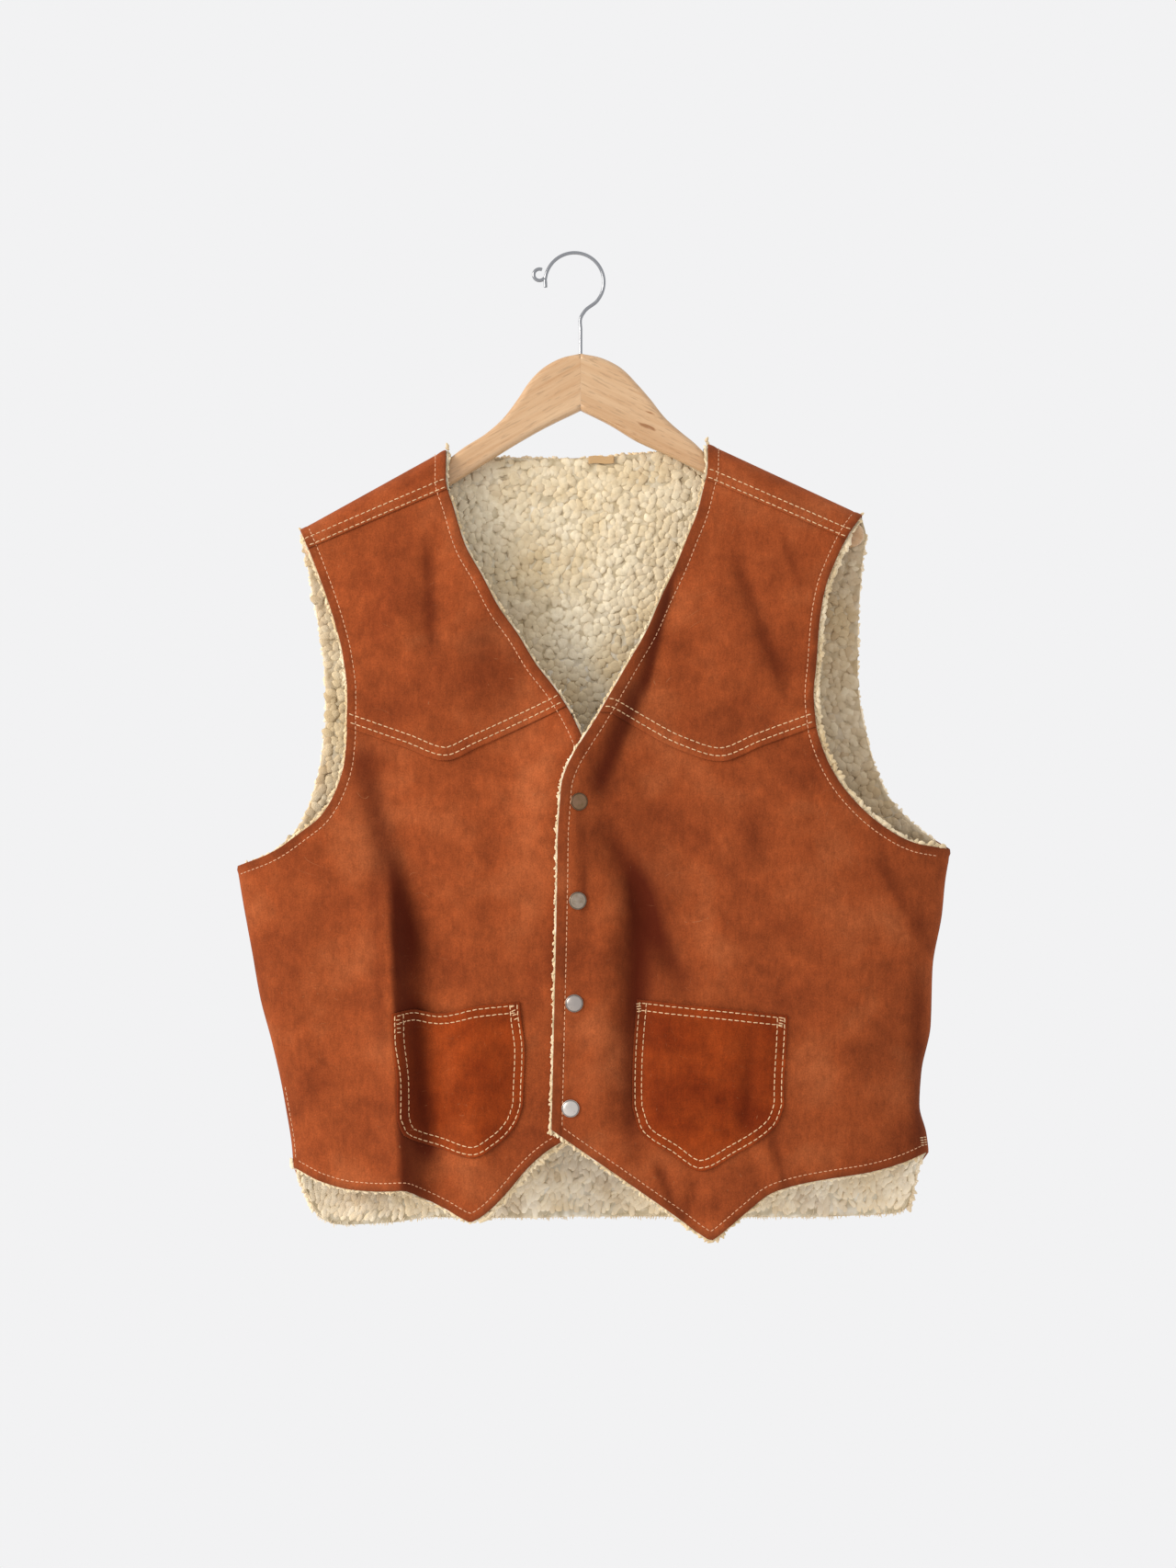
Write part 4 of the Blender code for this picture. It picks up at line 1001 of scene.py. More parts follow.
straps, back = back_shell(PILE_SHOWS, BACK_LINING_NEAR, LINING_SPACING, 0.8)
pile_points, pile_normals, _, pile_x, pile_down, keep = whole_back(
    straps, back, lambda side, x, down: (*front_surface(side, x, down), 0 * x),
    lambda x, down: (*back_surface(x, down), 0 * x))
back_free = [down_edge(moved(back_outer(side), OUTWARD[side], PILE_SHOWS, BACK_ARM_FADES[side]),
                       *BACK_ARM_RUN[side]) for side in OUTWARD]
back_free.append(along_line(lowered(line_drop(BACK_HEM), PILE_SHOWS), *BACK_HEM_RUN))
make_lining("lining_back", pile_points, pile_normals, pile_x, pile_down, back_free,
            standing(pile_x, pile_down), keep)

LOCK_ALONG = np.array((-0.97, -0.6, 0, 0.6, 0.97))
LOCK_SIDES = 6
LOCK_POINTS = len(LOCK_ALONG) * LOCK_SIDES
LOCK_STEP = dict(neck=5.4, hem=4.4)
HIDDEN_MARGIN = 11.0
CLEAR_OF_STRIP = dict(x=21, to_side=12.5, down=171)
OPEN_NECK = dict(x=1.5, to_side=101)
TUFTS_FADE = (452, 474)
TUFTED_ARM = (222, 470)
TUFTED_TAIL = (722, 764)
RAGGED_HEM_FROM = -78
RAGGED_ARM_FROM = 408
ROLLED_ARM = (226, 424)
FUZZ = dict(start=-217, stop=267, step=0.42)


def between_edges(side, x, down, margin):
    """True where a place lies inside both upright edges of a front by more than a margin."""
    inner, outer, _ = front_edges(side, 0.0)
    near, far = inner(down), outer(down)
    return (x > np.minimum(near, far) + margin) & (x < np.maximum(near, far) - margin)


def hidden_by_front(x, down):
    """True where a front covers the back lining by more than a margin."""
    covered = np.zeros(x.shape, bool)
    for side in OUTWARD:
        above_hem = down < line_drop(OUTLINE[side]["hem"])(x) - HIDDEN_MARGIN
        covered |= between_edges(side, x, down, HIDDEN_MARGIN) & above_hem
    return covered


def pile_frame(x, down):
    """Places on the standing face of the back lining, with the directions out of it, to its
    side and down along it."""
    points, normals = back_surface(x, down)
    thickness = PRESSED_PILE + (PILE - PRESSED_PILE) * standing(x, down)
    out = -normals
    beside = unit(np.cross(out, (0.0, 0.0, -1.0)))
    return points + out * (SUEDE + GAP + thickness)[:, None], out, beside, np.cross(beside, out)


def locks(place, out, ahead, size, curl, rise):
    """Points of many curled locks at once. A lock is an egg bent along an arc: its ring at u,
    from -1 to 1, is centred u half lengths ahead and u squared times the curl to its side,
    sinks by u squared times 0.6 of its height, and is the square root of 1 - u squared wide."""
    beside = np.cross(out, ahead)
    turn = full_turn(LOCK_SIDES)
    u = LOCK_ALONG[None, :, None, None]
    full = np.sqrt(1 - u ** 2) * (1 + 0.25 * u)
    length, width, height = (size[:, k][:, None, None, None] for k in range(3))
    across, up = np.cos(turn)[None, None, :, None], np.sin(turn)[None, None, :, None]
    bend = (u ** 2) * curl[:, None, None, None] * length
    return (place[:, None, None] + ahead[:, None, None] * u * length
            + beside[:, None, None] * (full * across * width + bend)
            + out[:, None, None] * (rise + full * up * height - 0.6 * u ** 2 * height)).reshape(-1, 3)


def scatter(low, high, step, seed):
    """One place in each square cell of a region, off its middle by up to half a cell."""
    draw = np.random.default_rng(seed)
    x, down = np.meshgrid(np.arange(low[0], high[0], step), np.arange(low[1], high[1], step))
    x = x.ravel() + draw.uniform(-0.5, 0.5, x.size) * step
    return x, down.ravel() + draw.uniform(-0.5, 0.5, x.size) * step, draw


curly_wool = wool("curly sherpa pile", 3.0, "#AC9B7A", "#CFBF9F", "#E1D2B5", "#F3E6CB")
# Paler than the curly pile: painted light for the hem, which lies in shade under the fronts; the fringes and
# fuzz share it.
brushed_wool = wool("brushed sherpa pile", 5.0, "#CDB891", "#F0DDBA", "#FCEBCD", "#FEF1DA")


def repeated(points, rings, sides):
    """Faces of many tubes of one make, whose points follow one another."""
    faces = tube_faces(rings, sides)
    step = np.arange(0, len(points), rings * sides)[:, None, None]
    return ((np.array(faces[:-2]) + step).reshape(-1, 4).tolist()
            + (np.array(faces[-2:]) + step).reshape(-1, sides).tolist())


def make_locks(name, points, shade, pale, finish):
    """One mesh of many locks, with painted light on the side that faces out of the lining and
    painted shade on the side against it, and with shades and added paleness for all or for each.
    """
    count = len(points) // LOCK_POINTS
    tone, pale_and_lit = (np.repeat(np.broadcast_to(value, count), LOCK_POINTS) for value in (shade, pale))
    high = np.tile(0.47 + 0.28 * np.sin(full_turn(LOCK_SIDES)), len(LOCK_ALONG) * count) + 0.3 * pale_and_lit
    make_piece(name, points, repeated(points, len(LOCK_ALONG), LOCK_SIDES), finish,
               marks=dict(height=high, tone=tone))


def curled_locks(name, low, high, step, half_size, combed, finish, seed):
    """Locks over the part of the back lining that shows, with their half length, half width
    and height. combed is 0 where they curl every way and 1 where they are brushed down."""
    x, down, draw = scatter(low, high, step, seed)
    neck = back_neck(PILE_SHOWS)(x) + 3.5
    right, left = back_outer("right")(down) + 1.5, back_outer("left")(down) - 1.5
    top = np.where(np.abs(x - OPEN_NECK["x"]) < OPEN_NECK["to_side"], neck, shoulder_drop(x) + 14)
    foot = line_drop(BACK_HEM)(x) - 1.0 - 4.5 * combed
    strip = (np.abs(x - CLEAR_OF_STRIP["x"]) < CLEAR_OF_STRIP["to_side"]) & (down < CLEAR_OF_STRIP["down"])
    kept = (down > top) & (x > right) & (x < left) & (down < foot) & ~hidden_by_front(x, down) & ~strip
    x, down = x[kept], down[kept]
    place, out, beside, along = pile_frame(x, down)
    spin = draw.uniform(0, 2 * math.pi, len(x))
    spin = spin * (1 - combed) + combed * draw.normal(math.pi / 2, 0.35, len(x))
    ahead = beside * np.cos(spin)[:, None] + along * np.sin(spin)[:, None]
    big = draw.uniform(0.75, 1.3, len(x))
    stands = 0.5 + 0.5 * soft_step(down - shoulder_drop(x), 20, 90)
    size = np.stack((big * half_size[0], big * half_size[1], stands * big ** 0.5 * half_size[2]), axis=1)
    curl = draw.uniform(-0.5, 0.5, len(x)) * (1 - 0.6 * combed)
    points = locks(place, out, ahead, size, curl, -0.1)
    shade = np.clip(pile_matting_and_shade(x, down) + draw.normal(0.04, 0.07, len(x)), 0, 0.8)
    make_locks(name, points, shade, painted_light_on_pile(x, down), finish)


curled_locks("pile_locks_upper", (-240, 150), (275, 520), LOCK_STEP["neck"], (4.9, 3.6, 1.0), 0.0,
             curly_wool, 301)
curled_locks("pile_locks_hem", (-232, 690), (285, 778), LOCK_STEP["hem"], (6.0, 2.7, 0.8), 0.8,
             brushed_wool, 302)


def run_along(places):
    """Length of a line up to each of its places."""
    return np.concatenate(([0], np.cumsum(np.linalg.norm(np.diff(places, axis=0), axis=1))))


def fringe(places, outward, face, step, half_size, seed, reach=-0.6):
    """Points of tufts at even steps along a free edge of the pile, each turned and set in or
    out by chance round its reach past the edge. outward is 1 where the edge is free on the
    side that inset calls plus."""
    draw = np.random.default_rng(seed)
    run = run_along(places)
    at = np.arange(step, run[-1] - step, step)
    at = at + draw.uniform(-0.4, 0.4, len(at)) * step
    spot = np.stack([np.interp(at, run, places[:, k]) for k in (0, 1)], axis=1)
    ahead = unit(np.stack([np.interp(at + 0.6, run, places[:, k]) for k in (0, 1)], axis=1) - spot)
    free = outward * np.stack((ahead[:, 1], -ahead[:, 0]), axis=1)
    spot = spot + free * draw.normal(reach, 0.45, len(at))[:, None]
    points, normals = face(spot[:, 0], spot[:, 1])
    spin = draw.normal(0, 0.7, len(at))[:, None]
    flat = ahead * np.cos(spin) + free * np.sin(spin)
    along = np.stack((flat[:, 0], 0 * flat[:, 0], -flat[:, 1]), axis=1)
    along = unit(along - (along * normals).sum(axis=1)[:, None] * normals)
    size = draw.uniform(0.65, 1.45, len(at))[:, None] * np.array(half_size)
    behind = SUEDE + GAP + draw.uniform(0.9, 2.6, len(at))
    return locks(points - normals * behind[:, None], -normals, along, size,
                 draw.uniform(-0.4, 0.4, len(at)), 0.0)


# Each fringe has its step, a tuft's half length, half width and height, its seed and its reach.
for side in OUTWARD:
    out = OUTWARD[side]
    borders = front_borders(side, PILE_SHOWS)
    arm = moved(back_outer(side), out, PILE_SHOWS, TUFTS_FADE)
    front = partial(front_surface, side)
    tufts = [fringe(borders["centre"], -out, front, 2.0, (1.9, 1.1, 1.0), 310, -0.8),
             fringe(borders["armhole"], out, front, 2.2, (2.1, 1.3, 1.1), 311),
             fringe(borders["hem"], -1, front, 2.1, (2.2, 1.2, 1.1), 312),
             fringe(down_edge(arm, *TUFTED_ARM), out, back_surface, 2.6, (2.2, 1.3, 1.1), 313),
             fringe(down_edge(arm, *TUFTED_TAIL), out, back_surface, 1.6, (2.7, 1.5, 1.2), 316, 0.1)]
    if side == "right":
        ragged = borders["hem"][borders["hem"][:, 0] > RAGGED_HEM_FROM]
        tufts.append(fringe(ragged, -1, front, 2.0, (3.2, 1.5, 1.3), 317, 1.5))
    if side == "left":
        drop = borders["armhole"][:, 1]
        ragged = borders["armhole"][drop > RAGGED_ARM_FROM]
        rolled = borders["armhole"][(drop > ROLLED_ARM[0]) & (drop < ROLLED_ARM[1])]
        neck_line = along_line(back_neck(PILE_SHOWS), BACK_NECK["x"][3], BACK_NECK["x"][-4])
        tufts += [fringe(ragged, out, front, 3.0, (3.0, 1.9, 1.6), 318, 0.8),
                  fringe(rolled, out, front, 1.9, (2.9, 1.7, 1.5), 319, 1.3),
                  fringe(neck_line, 1, back_surface, 2.4, (2.0, 1.2, 1.0), 314)]
    points = np.concatenate(tufts)
    shade = np.random.default_rng(315).uniform(0, 0.25, len(points) // LOCK_POINTS)
    make_locks("pile_fringe_" + side, points, shade, 0.2, brushed_wool)


def hem_fuzz(seed):
    """Loose fibres through the thickness of the pile, which hang 1 to 4 mm past the back's
    hem, each a hair thin and turned off the plumb by chance."""
    draw = np.random.default_rng(seed)
    x = np.arange(FUZZ["start"], FUZZ["stop"], FUZZ["step"])
    x = x + draw.uniform(-0.4, 0.4, len(x))
    down = line_drop(BACK_HEM)(x) + PILE_SHOWS - draw.uniform(0.2, 4.5, len(x))
    points, normals = back_surface(x, down)
    along = unit(np.stack((draw.normal(0, 0.4, len(x)), draw.normal(0, 0.25, len(x)), -np.ones(len(x))),
                          axis=1))
    out = unit(-normals - (-normals * along).sum(axis=1)[:, None] * along)
    size = draw.uniform(0.7, 1.5, len(x))[:, None] * np.array((2.4, 0.3, 0.3))
    behind = SUEDE + GAP + draw.uniform(0.3, PILE, len(x))
    return locks(points - normals * behind[:, None], out, along, size, draw.uniform(-0.5, 0.5, len(x)), 0.0)


make_locks("pile_fuzz_hem", hem_fuzz(320), 0.1, 0.3, brushed_wool)

# Suede: the back, fronts and yokes
# Cowhide split, napped on its outer side and vegetable-dyed chestnut. Edges are turned under
# and stitched 6 to 9 mm in, which puffs the border; the yokes lap over the fronts and the
# back laps over the yokes at the shoulder, each with two rows of thread.
LAP_STEP = SUEDE + GAP
STRAP_LAP = (0.5, 0.66)
YOKE_LAP = (9.0, 17.0)
EDGE_ROUND = 0.8
GROOVE = dict(depth=0.42, width=1.0)
ARMHOLE_FOOT = (444, 460)
STITCHED_ARM = {"right": (222, 489), "left": (210, 475.5)}
STITCHED_HEM = (-226, 273)
STRAP_SEAM = {"right": (-222, -100), "left": (103, 225)}
STRAP_NECK = (150, 190)
STRAP_ARM = (205, 240)
ROUNDING_ERROR = 0.001
BAND_PUFFS = 0.45
PUCKER = 0.16
BORDER_ROW = dict(centre=8.5, armhole=7.0, hem=6.5)
BACK_BORDER_ROW = dict(neck=8.0, armhole=7.0, hem=6.5)
YOKE_ROWS = (4.5, 10.8)
SHOULDER_ROWS = (1.9, 8.4)
SUEDE_NEAR = (0.0, 0.35, 0.9, 2.2, 4.2, 5.8, 6.8, 7.7, 8.6, 9.6, 11.0, 13.5)
BACK_NEAR = (0.0, 0.35, 0.9, 2.2, 4.2, 6.0, 7.2, 8.6, 11.0)
YOKE_NEAR = (0.0, 0.35, 0.9, 2.2, 3.8, 4.6, 5.5, 7.0, 9.0, 10.3, 11.2, 12.2, 14.0)


def groove(distance, row):
    """A row of stitches pulls the hide in: a narrow bell below the surface."""
    off = distance - row
    return -GROOVE["depth"] * np.exp(-(off / GROOVE["width"]) ** 2)


def puff(distance, row):
    """The turned edge between the cut and its row of stitches stands up as a low arch."""
    across = (distance - row / 2) / (row / 2)
    return BAND_PUFFS * np.clip(1 - across ** 2, 0, None) * (distance < row)


def pucker(distance, row, x, down, seed):
    """Small gathers beside a row, which die away over a few millimetres."""
    return PUCKER * np.exp(-((distance - row) / 5) ** 2) * hills(x, down, 6.5, seed)


def above_line(line, x, down):
    """Distance above a cross line, square to it."""
    return (line(x) - down) / np.hypot(1, line(x + 1) - line(x))


def lap_over_front(side, x, down):
    """How far a yoke is lifted, near its lower edge, by the front under it."""
    above = above_line(line_drop(OUTLINE[side]["yoke"]), x, down)
    return LAP_STEP * (1 - soft_step(above, *YOKE_LAP))


def lap_lift(side, x, down):
    """How far the outermost panel is lifted by the panel under it."""
    outline = OUTLINE[side]
    seam, yoke = line_drop(outline["seam"]), line_drop(outline["yoke"])
    strap_part = (down - shoulder_drop(x)) / np.maximum(seam(x) - shoulder_drop(x), 1)
    strap = LAP_STEP * soft_step(strap_part, *STRAP_LAP)
    yoke_lift = np.where(down <= yoke(x) + ROUNDING_ERROR, lap_over_front(side, x, down), 0.0)
    return np.where(down <= seam(x) + ROUNDING_ERROR, strap, yoke_lift)


def front_relief(side, x, down):
    """Relief of all that is sewn on a front, and the distance to its nearest stitched edge."""
    borders = front_borders(side)
    relief = np.zeros(np.shape(x))
    nearest_edge = np.full(np.shape(x), 99.0)
    for seed, (name, row) in enumerate(BORDER_ROW.items()):
        far = distance_to(borders[name], x, down)
        shallow = soft_step(down, *ARMHOLE_FOOT) * (name == "armhole")
        relief += groove(far, row) * (1 - shallow) + puff(far, row) + pucker(far, row, x, down, 80 + seed)
        nearest_edge = np.minimum(nearest_edge, far)
    for line, rows in (("yoke", YOKE_ROWS), ("seam", SHOULDER_ROWS)):
        above = above_line(line_drop(OUTLINE[side][line]), x, down)
        for row in rows:
            relief += (groove(above, row) + pucker(above, row, x, down, 90)) * (above > 0)
    return relief, nearest_edge


def back_borders():
    """The stitched edges of the back as lines of places."""
    return dict(neck=along_line(back_neck(0), BACK_NECK["x"][0], BACK_NECK["x"][-1]),
                armhole_right=down_edge(back_outer("right"), *STITCHED_ARM["right"]),
                armhole_left=down_edge(back_outer("left"), *STITCHED_ARM["left"]),
                hem=along_line(line_drop(BACK_HEM), *STITCHED_HEM))


def back_relief(x, down):
    """Relief of the stitched borders of the back, and the distance to the nearest."""
    relief = np.zeros(np.shape(x))
    nearest_edge = np.full(np.shape(x), 99.0)
    for seed, (name, line) in enumerate(back_borders().items()):
        row = BACK_BORDER_ROW[name.split("_")[0]]
        far = distance_to(line, x, down)
        relief += groove(far, row) + puff(far, row) + pucker(far, row, x, down, 95 + seed)
        nearest_edge = np.minimum(nearest_edge, far)
    return relief, nearest_edge


def front_face(side, x, down):
    """Points and normals of the outermost face of a front, with laps and sewn relief, and the
    distance to its nearest stitched edge."""
    points, normals = front_surface(side, x, down)
    relief, edge = front_relief(side, x, down)
    return points + normals * (lap_lift(side, x, down) + relief)[..., None], normals, edge


def back_face(x, down):
    """Points and normals of the outer face of the back, and the distance to its nearest
    stitched edge."""
    points, normals = back_surface(x, down)
    relief, edge = back_relief(x, down)
    return points + normals * relief[..., None], normals, edge


def suede(name, main, dark, light, nap=900.0):
    """Napped chestnut split: dull and deep, with paler patches where the nap is worn or lies
    the other way, darker blots of handling, a few pale scratches and a soft bright sheen at
    grazing angles. Nap is 0.4 to 1.2 mm long; borders are darker and redder. The tone mark
    makes it paler or darker and below 0 deep brown: painted shade along folds, painted light on
    their crests, and patches of nap tone."""
    hide, shader = new_finish(name, Roughness=0.95, Specular_IOR_Level=0.12, Sheen_Weight=0.18,
                              Sheen_Roughness=0.45, Sheen_Tint=srgb("#E9A276"))
    place = add(hide, "TexCoord").outputs["Object"]
    edge = add(hide, "Attribute", attribute_name="edge").outputs["Fac"]
    tone = add(hide, "Attribute", attribute_name="tone").outputs["Fac"]
    patch = add(hide, "TexNoise", {"Vector": place, "Scale": 17.0, "Detail": 3.0, "Roughness": 0.55,
                                   "Distortion": 0.2})
    blot = add(hide, "TexNoise", {"Vector": place, "Scale": 75.0, "Detail": 5.0, "Roughness": 0.65})
    brushed = add(hide, "Mapping", {"Vector": place, "Rotation": (0, 0.12, 0), "Scale": (1.0, 1.0, 0.3)})
    streak = add(hide, "TexNoise", {"Vector": brushed.outputs[0], "Scale": 320.0, "Detail": 3.0,
                                    "Roughness": 0.7})
    grain = add(hide, "TexNoise", {"Vector": place, "Scale": nap, "Detail": 3.0, "Roughness": 0.75})
    broad = add(hide, "ValToRGB", {"Fac": patch.outputs["Fac"]},
                ramp=[(0.30, srgb(dark)), (0.50, srgb(main)), (0.72, srgb(light))])
    small = add(hide, "ValToRGB", {"Fac": blot.outputs["Fac"]},
                ramp=[(0.30, grey(0.74)), (0.50, grey(0.97)), (0.72, grey(1.22))])
    mottled = add(hide, "Mix", {0: 0.75, 6: broad.outputs[0], 7: small.outputs[0]}, data_type="RGBA",
                  blend_type="MULTIPLY")
    fine = add(hide, "ValToRGB", {"Fac": streak.outputs["Fac"]}, ramp=[(0.3, grey(0.80)), (0.7, grey(1.15))])
    brushed_tone = add(hide, "Mix", {0: 0.7, 6: mottled.outputs[2], 7: fine.outputs[0]}, data_type="RGBA",
                       blend_type="MULTIPLY")
    speck = add(hide, "ValToRGB", {"Fac": grain.outputs["Fac"]}, ramp=[(0.3, grey(0.70)), (0.7, grey(1.28))])
    napped = add(hide, "Mix", {0: 0.8, 6: brushed_tone.outputs[2], 7: speck.outputs[0]}, data_type="RGBA",
                 blend_type="MULTIPLY")
    # The tone mark carries painted light and shade: it multiplies the colour by 0.6 to 1.6, and below 0 mixes
    # in a deep brown as painted shade.
    worn = add(hide, "MapRange", {"Value": tone, "From Min": -1.0, "From Max": 1.0,
                                  "To Min": 0.6, "To Max": 1.6})
    lighter = add(hide, "Mix", {0: 1.0, 6: napped.outputs[2], 7: worn.outputs[0]}, data_type="RGBA",
                  blend_type="MULTIPLY")
    depth = add(hide, "MapRange", {"Value": tone, "From Min": 0.0, "From Max": -1.0,
                                   "To Min": 0.0, "To Max": 0.85})
    patched = add(hide, "Mix", {0: depth.outputs[0], 6: lighter.outputs[2], 7: srgb("#4A1304")},
                  data_type="RGBA")
    ragged = add(hide, "Math", {0: blot.outputs["Fac"], 1: 9.0, 2: edge}, operation="MULTIPLY_ADD")
    band = add(hide, "MapRange", {"Value": ragged.outputs[0], "From Min": 5.0, "From Max": 12.5,
                                  "To Min": 0.5, "To Max": 0.0})
    bordered = add(hide, "Mix", {0: band.outputs[0], 6: patched.outputs[2], 7: srgb("#5E2C16")},
                   data_type="RGBA")
    leaning = add(hide, "TexNoise", {"Vector": place, "Scale": 9.0, "Detail": 1.0})
    turned = add(hide, "VectorRotate", {"Vector": place, "Axis": (0.0, 1.0, 0.0),
                                        "Angle": add(hide, "Math", {0: leaning.outputs["Fac"], 1: 5.0},
                                                     operation="MULTIPLY").outputs[0]})
    scuff = add(hide, "Mapping", {"Vector": turned.outputs[0], "Scale": (70.0, 70.0, 420.0)})
    hair = add(hide, "TexNoise", {"Vector": scuff.outputs[0], "Scale": 1.0, "Detail": 2.0})
    scratched = add(hide, "ValToRGB", {"Fac": hair.outputs["Fac"]},
                    ramp=[(0.71, grey(0)), (0.79, grey(0.42))])
    final = add(hide, "Mix", {0: scratched.outputs[0], 6: bordered.outputs[2], 7: srgb("#B07C55")},
                data_type="RGBA")
    join(hide, final.outputs[2], shader, "Base Color")
    lay = add(hide, "Math", {0: streak.outputs["Fac"], 1: grain.outputs["Fac"]}, operation="ADD")
    relief = add(hide, "Bump", {"Strength": 0.35, "Distance": 0.0004, "Height": lay.outputs[0]})
    join(hide, relief.outputs[0], shader, "Normal")
    return hide


chestnut_suede = suede("chestnut suede", "#8C421F", "#793618", "#9A502B")

# Large tones painted on the nap: strokes of painted shade along the fold valleys and painted
# light on their crests, and patches partly of nap tone and partly of painted light and shade. A
# patch is x, down, its two half sizes and its strength, and a stroke is written as a fold is.
# Above 0 it is paler, below 0 darker.
NAP_AND_SHADE_PATCHES = (
    (-95, 235, 40, 26, 0.10), (-168, 268, 30, 34, 0.36), (-74, 322, 19, 34, -0.40),
    (-50, 336, 10, 24, -0.22), (-215, 570, 34, 80, -0.10), (-70, 470, 40, 50, 0.08),
    (96, 250, 30, 36, 0.14), (60, 480, 26, 70, -0.16), (150, 470, 50, 40, -0.10),
    (240, 560, 30, 80, 0.06), (250, 640, 26, 20, -0.16), (50, 610, 30, 60, -0.12),
    (60, 535, 16, 52, -0.24), (-166, 404, 15, 14, -0.36), (-78, 440, 34, 24, 0.12),
)
FOLD_SHADE_STROKES = (
    (-147, 450, -136, 810, 3.5, 20, -0.78),
    (-180, 372, -124, 575, 12, 9, -0.55),
    (-152, 490, -141, 810, 4, 3, 0.18),
    (-163, 450, -153, 650, 7, 6, -0.24),
    (12, 432, 90, 590, 9, 9, -0.55),
    (49, 455, 45, 720, 9, 9, -0.62),
    (60, 475, 52, 610, 9, 14, -0.30),
    (30, 470, 17, 700, 9, 7, 0.14),
    (84, 228, 55, 352, 8, 3.5, -0.85),
    (58, 330, 17, 432, 12, 6, -0.85),
    (120, 224, 168, 350, 5, 7, -0.42),
    (164, 220, 180, 266, 3, 4, -0.26),
    (239, 478, 283, 556, 5, 7, -0.34),
    (4, 430, 7, 528, 3, 3, -0.40),
    (160, 400, 178, 640, 13, 13, 0.16),
    (273, 545, 276, 730, 7, 6, -0.50),
    (-95, 648, -97, 712, 7, 7, -0.30),
    (-131, 580, -117, 724, 9, 9, -1.25),
    (141, 610, 136, 706, 6, 6, -0.60),
    (62, 606, 67, 690, 6, 6, -0.34),
    (62, 720, 82, 768, 4, 5, -0.40),
    (155, 698, 170, 750, 3, 5, -0.40),
    (100, 734, 84, 776, 4, 4, -0.34),
    (-120, 214, -115, 320, 5.5, 6, -0.52),
    (-143, 228, -138, 360, 9, 9, 0.16),
)


def painted(x, down):
    """Painted light and shade with some nap tone: the sum of soft strokes, painted shade in the
    valleys where the hide is creased and painted light on the crests, and of soft round
    patches, lighter or darker."""
    tone = fold_lift(FOLD_SHADE_STROKES, x, down)
    for at_x, at_down, wide, high, strength in NAP_AND_SHADE_PATCHES:
        tone += strength * np.exp(-((x - at_x) / wide) ** 2 - ((down - at_down) / high) ** 2)
    return tone


def painted_shade_on_v_edge(side, x, down):
    """Painted shade on the border of the left front's V-edge, where it rolls away from the window."""
    edge = edge_x(OUTLINE["left"]["neck_edge"])(down)
    band = np.exp(-((x - edge - 4) / 5) ** 2) * soft_step(down, 175, 230) * (1 - soft_step(down, 410, 450))
    return -0.10 * band * (side == "left")


def make_suede(name, outer, normals, x, down, edges, border, tone, finish, keep=None):
    """A suede panel from the points of its outer face. It thins over the last of its edges."""
    full = rounded(nearest(edges, x, down), EDGE_ROUND)
    slim = SUEDE * (1 - full) / 2
    points, faces, used = shell_of(outer, normals, -slim, SUEDE - 2 * slim, keep)
    piece = make_piece("suede_" + name, points, faces, finish, [name],
                       dict(edge=border.ravel()[used], tone=tone.ravel()[used]))


straps, back = back_shell(0.0, BACK_NEAR, 3.4)
outer_face, outward, border, x, down, keep = whole_back(straps, back, front_face, back_face)
edges = list(back_borders().values())
edges += [along_line(line_drop(OUTLINE[side]["seam"]), *STRAP_SEAM[side]) for side in OUTWARD]
edges += [down_edge(edge_x(OUTLINE[side]["neck_edge"]), *STRAP_NECK) for side in OUTWARD]
edges += [down_edge(front_outer(side), *STRAP_ARM) for side in OUTWARD]
# The back takes the fronts' painted light and shade and nap tone: mirrored and at 0.35 behind, as they are on
# the straps.
behind = outer_face[..., 1] > 0
tone = 0.35 * painted(-x + 15, down) * behind + painted(x, down) * ~behind
make_suede("back", outer_face, outward, x, down, edges, border, tone,
           chestnut_suede, keep)


def make_front_panel(name, side, lines, columns, rows, edges):
    """A yoke or front. Its first rows run up under the panel above it, so its relief begins at
    its first line, and a yoke is lifted by the front under it."""
    inner, outer, _ = front_edges(side, 0.0)
    x, down = grid_between(inner, outer, lines, spread(SUEDE_NEAR, SUEDE_NEAR, columns), rows_between(rows))
    face, outward = front_surface(side, x, down)
    relief, border = front_relief(side, x, down)
    lift = lap_over_front(side, x, down) * (name == "yoke") + relief * (above_line(lines[0], x, down) < 0)
    make_suede(name + "_" + side, face + outward * lift[..., None], outward, x, down, edges, border,
               painted(x, down) + painted_shade_on_v_edge(side, x, down), chestnut_suede)


FRONT_FLAT = {"right": ((0.30, 0.41), 0.094), "left": ((0.33, 0.43), 0.105)}
for side, (flat_front, area_front) in FRONT_FLAT.items():
    outline = OUTLINE[side]
    seam, yoke, underarm, hem = (line_drop(outline[name]) for name in ("seam", "yoke", "underarm", "hem"))
    borders = front_borders(side)
    yoke_edge = along_line(yoke, outline["yoke"]["x"][0] - 2, outline["yoke"]["x"][-1] + 2)
    make_front_panel("yoke", side, [seam, seam, yoke], 44,
                     [spread((-9.0, -5.0), (0.0,), 1), spread((0.0,), YOKE_NEAR, 52)],
                     [borders["centre"], borders["armhole"], yoke_edge])
    make_front_panel("front", side, [yoke, yoke, underarm, hem], 68,
                     [spread((-9.0, -4.5), (0.0,), 1), spread((0.0,), (0.0,), 34),
                      spread((0.0,), SUEDE_NEAR, 76)],
                     list(borders.values()))

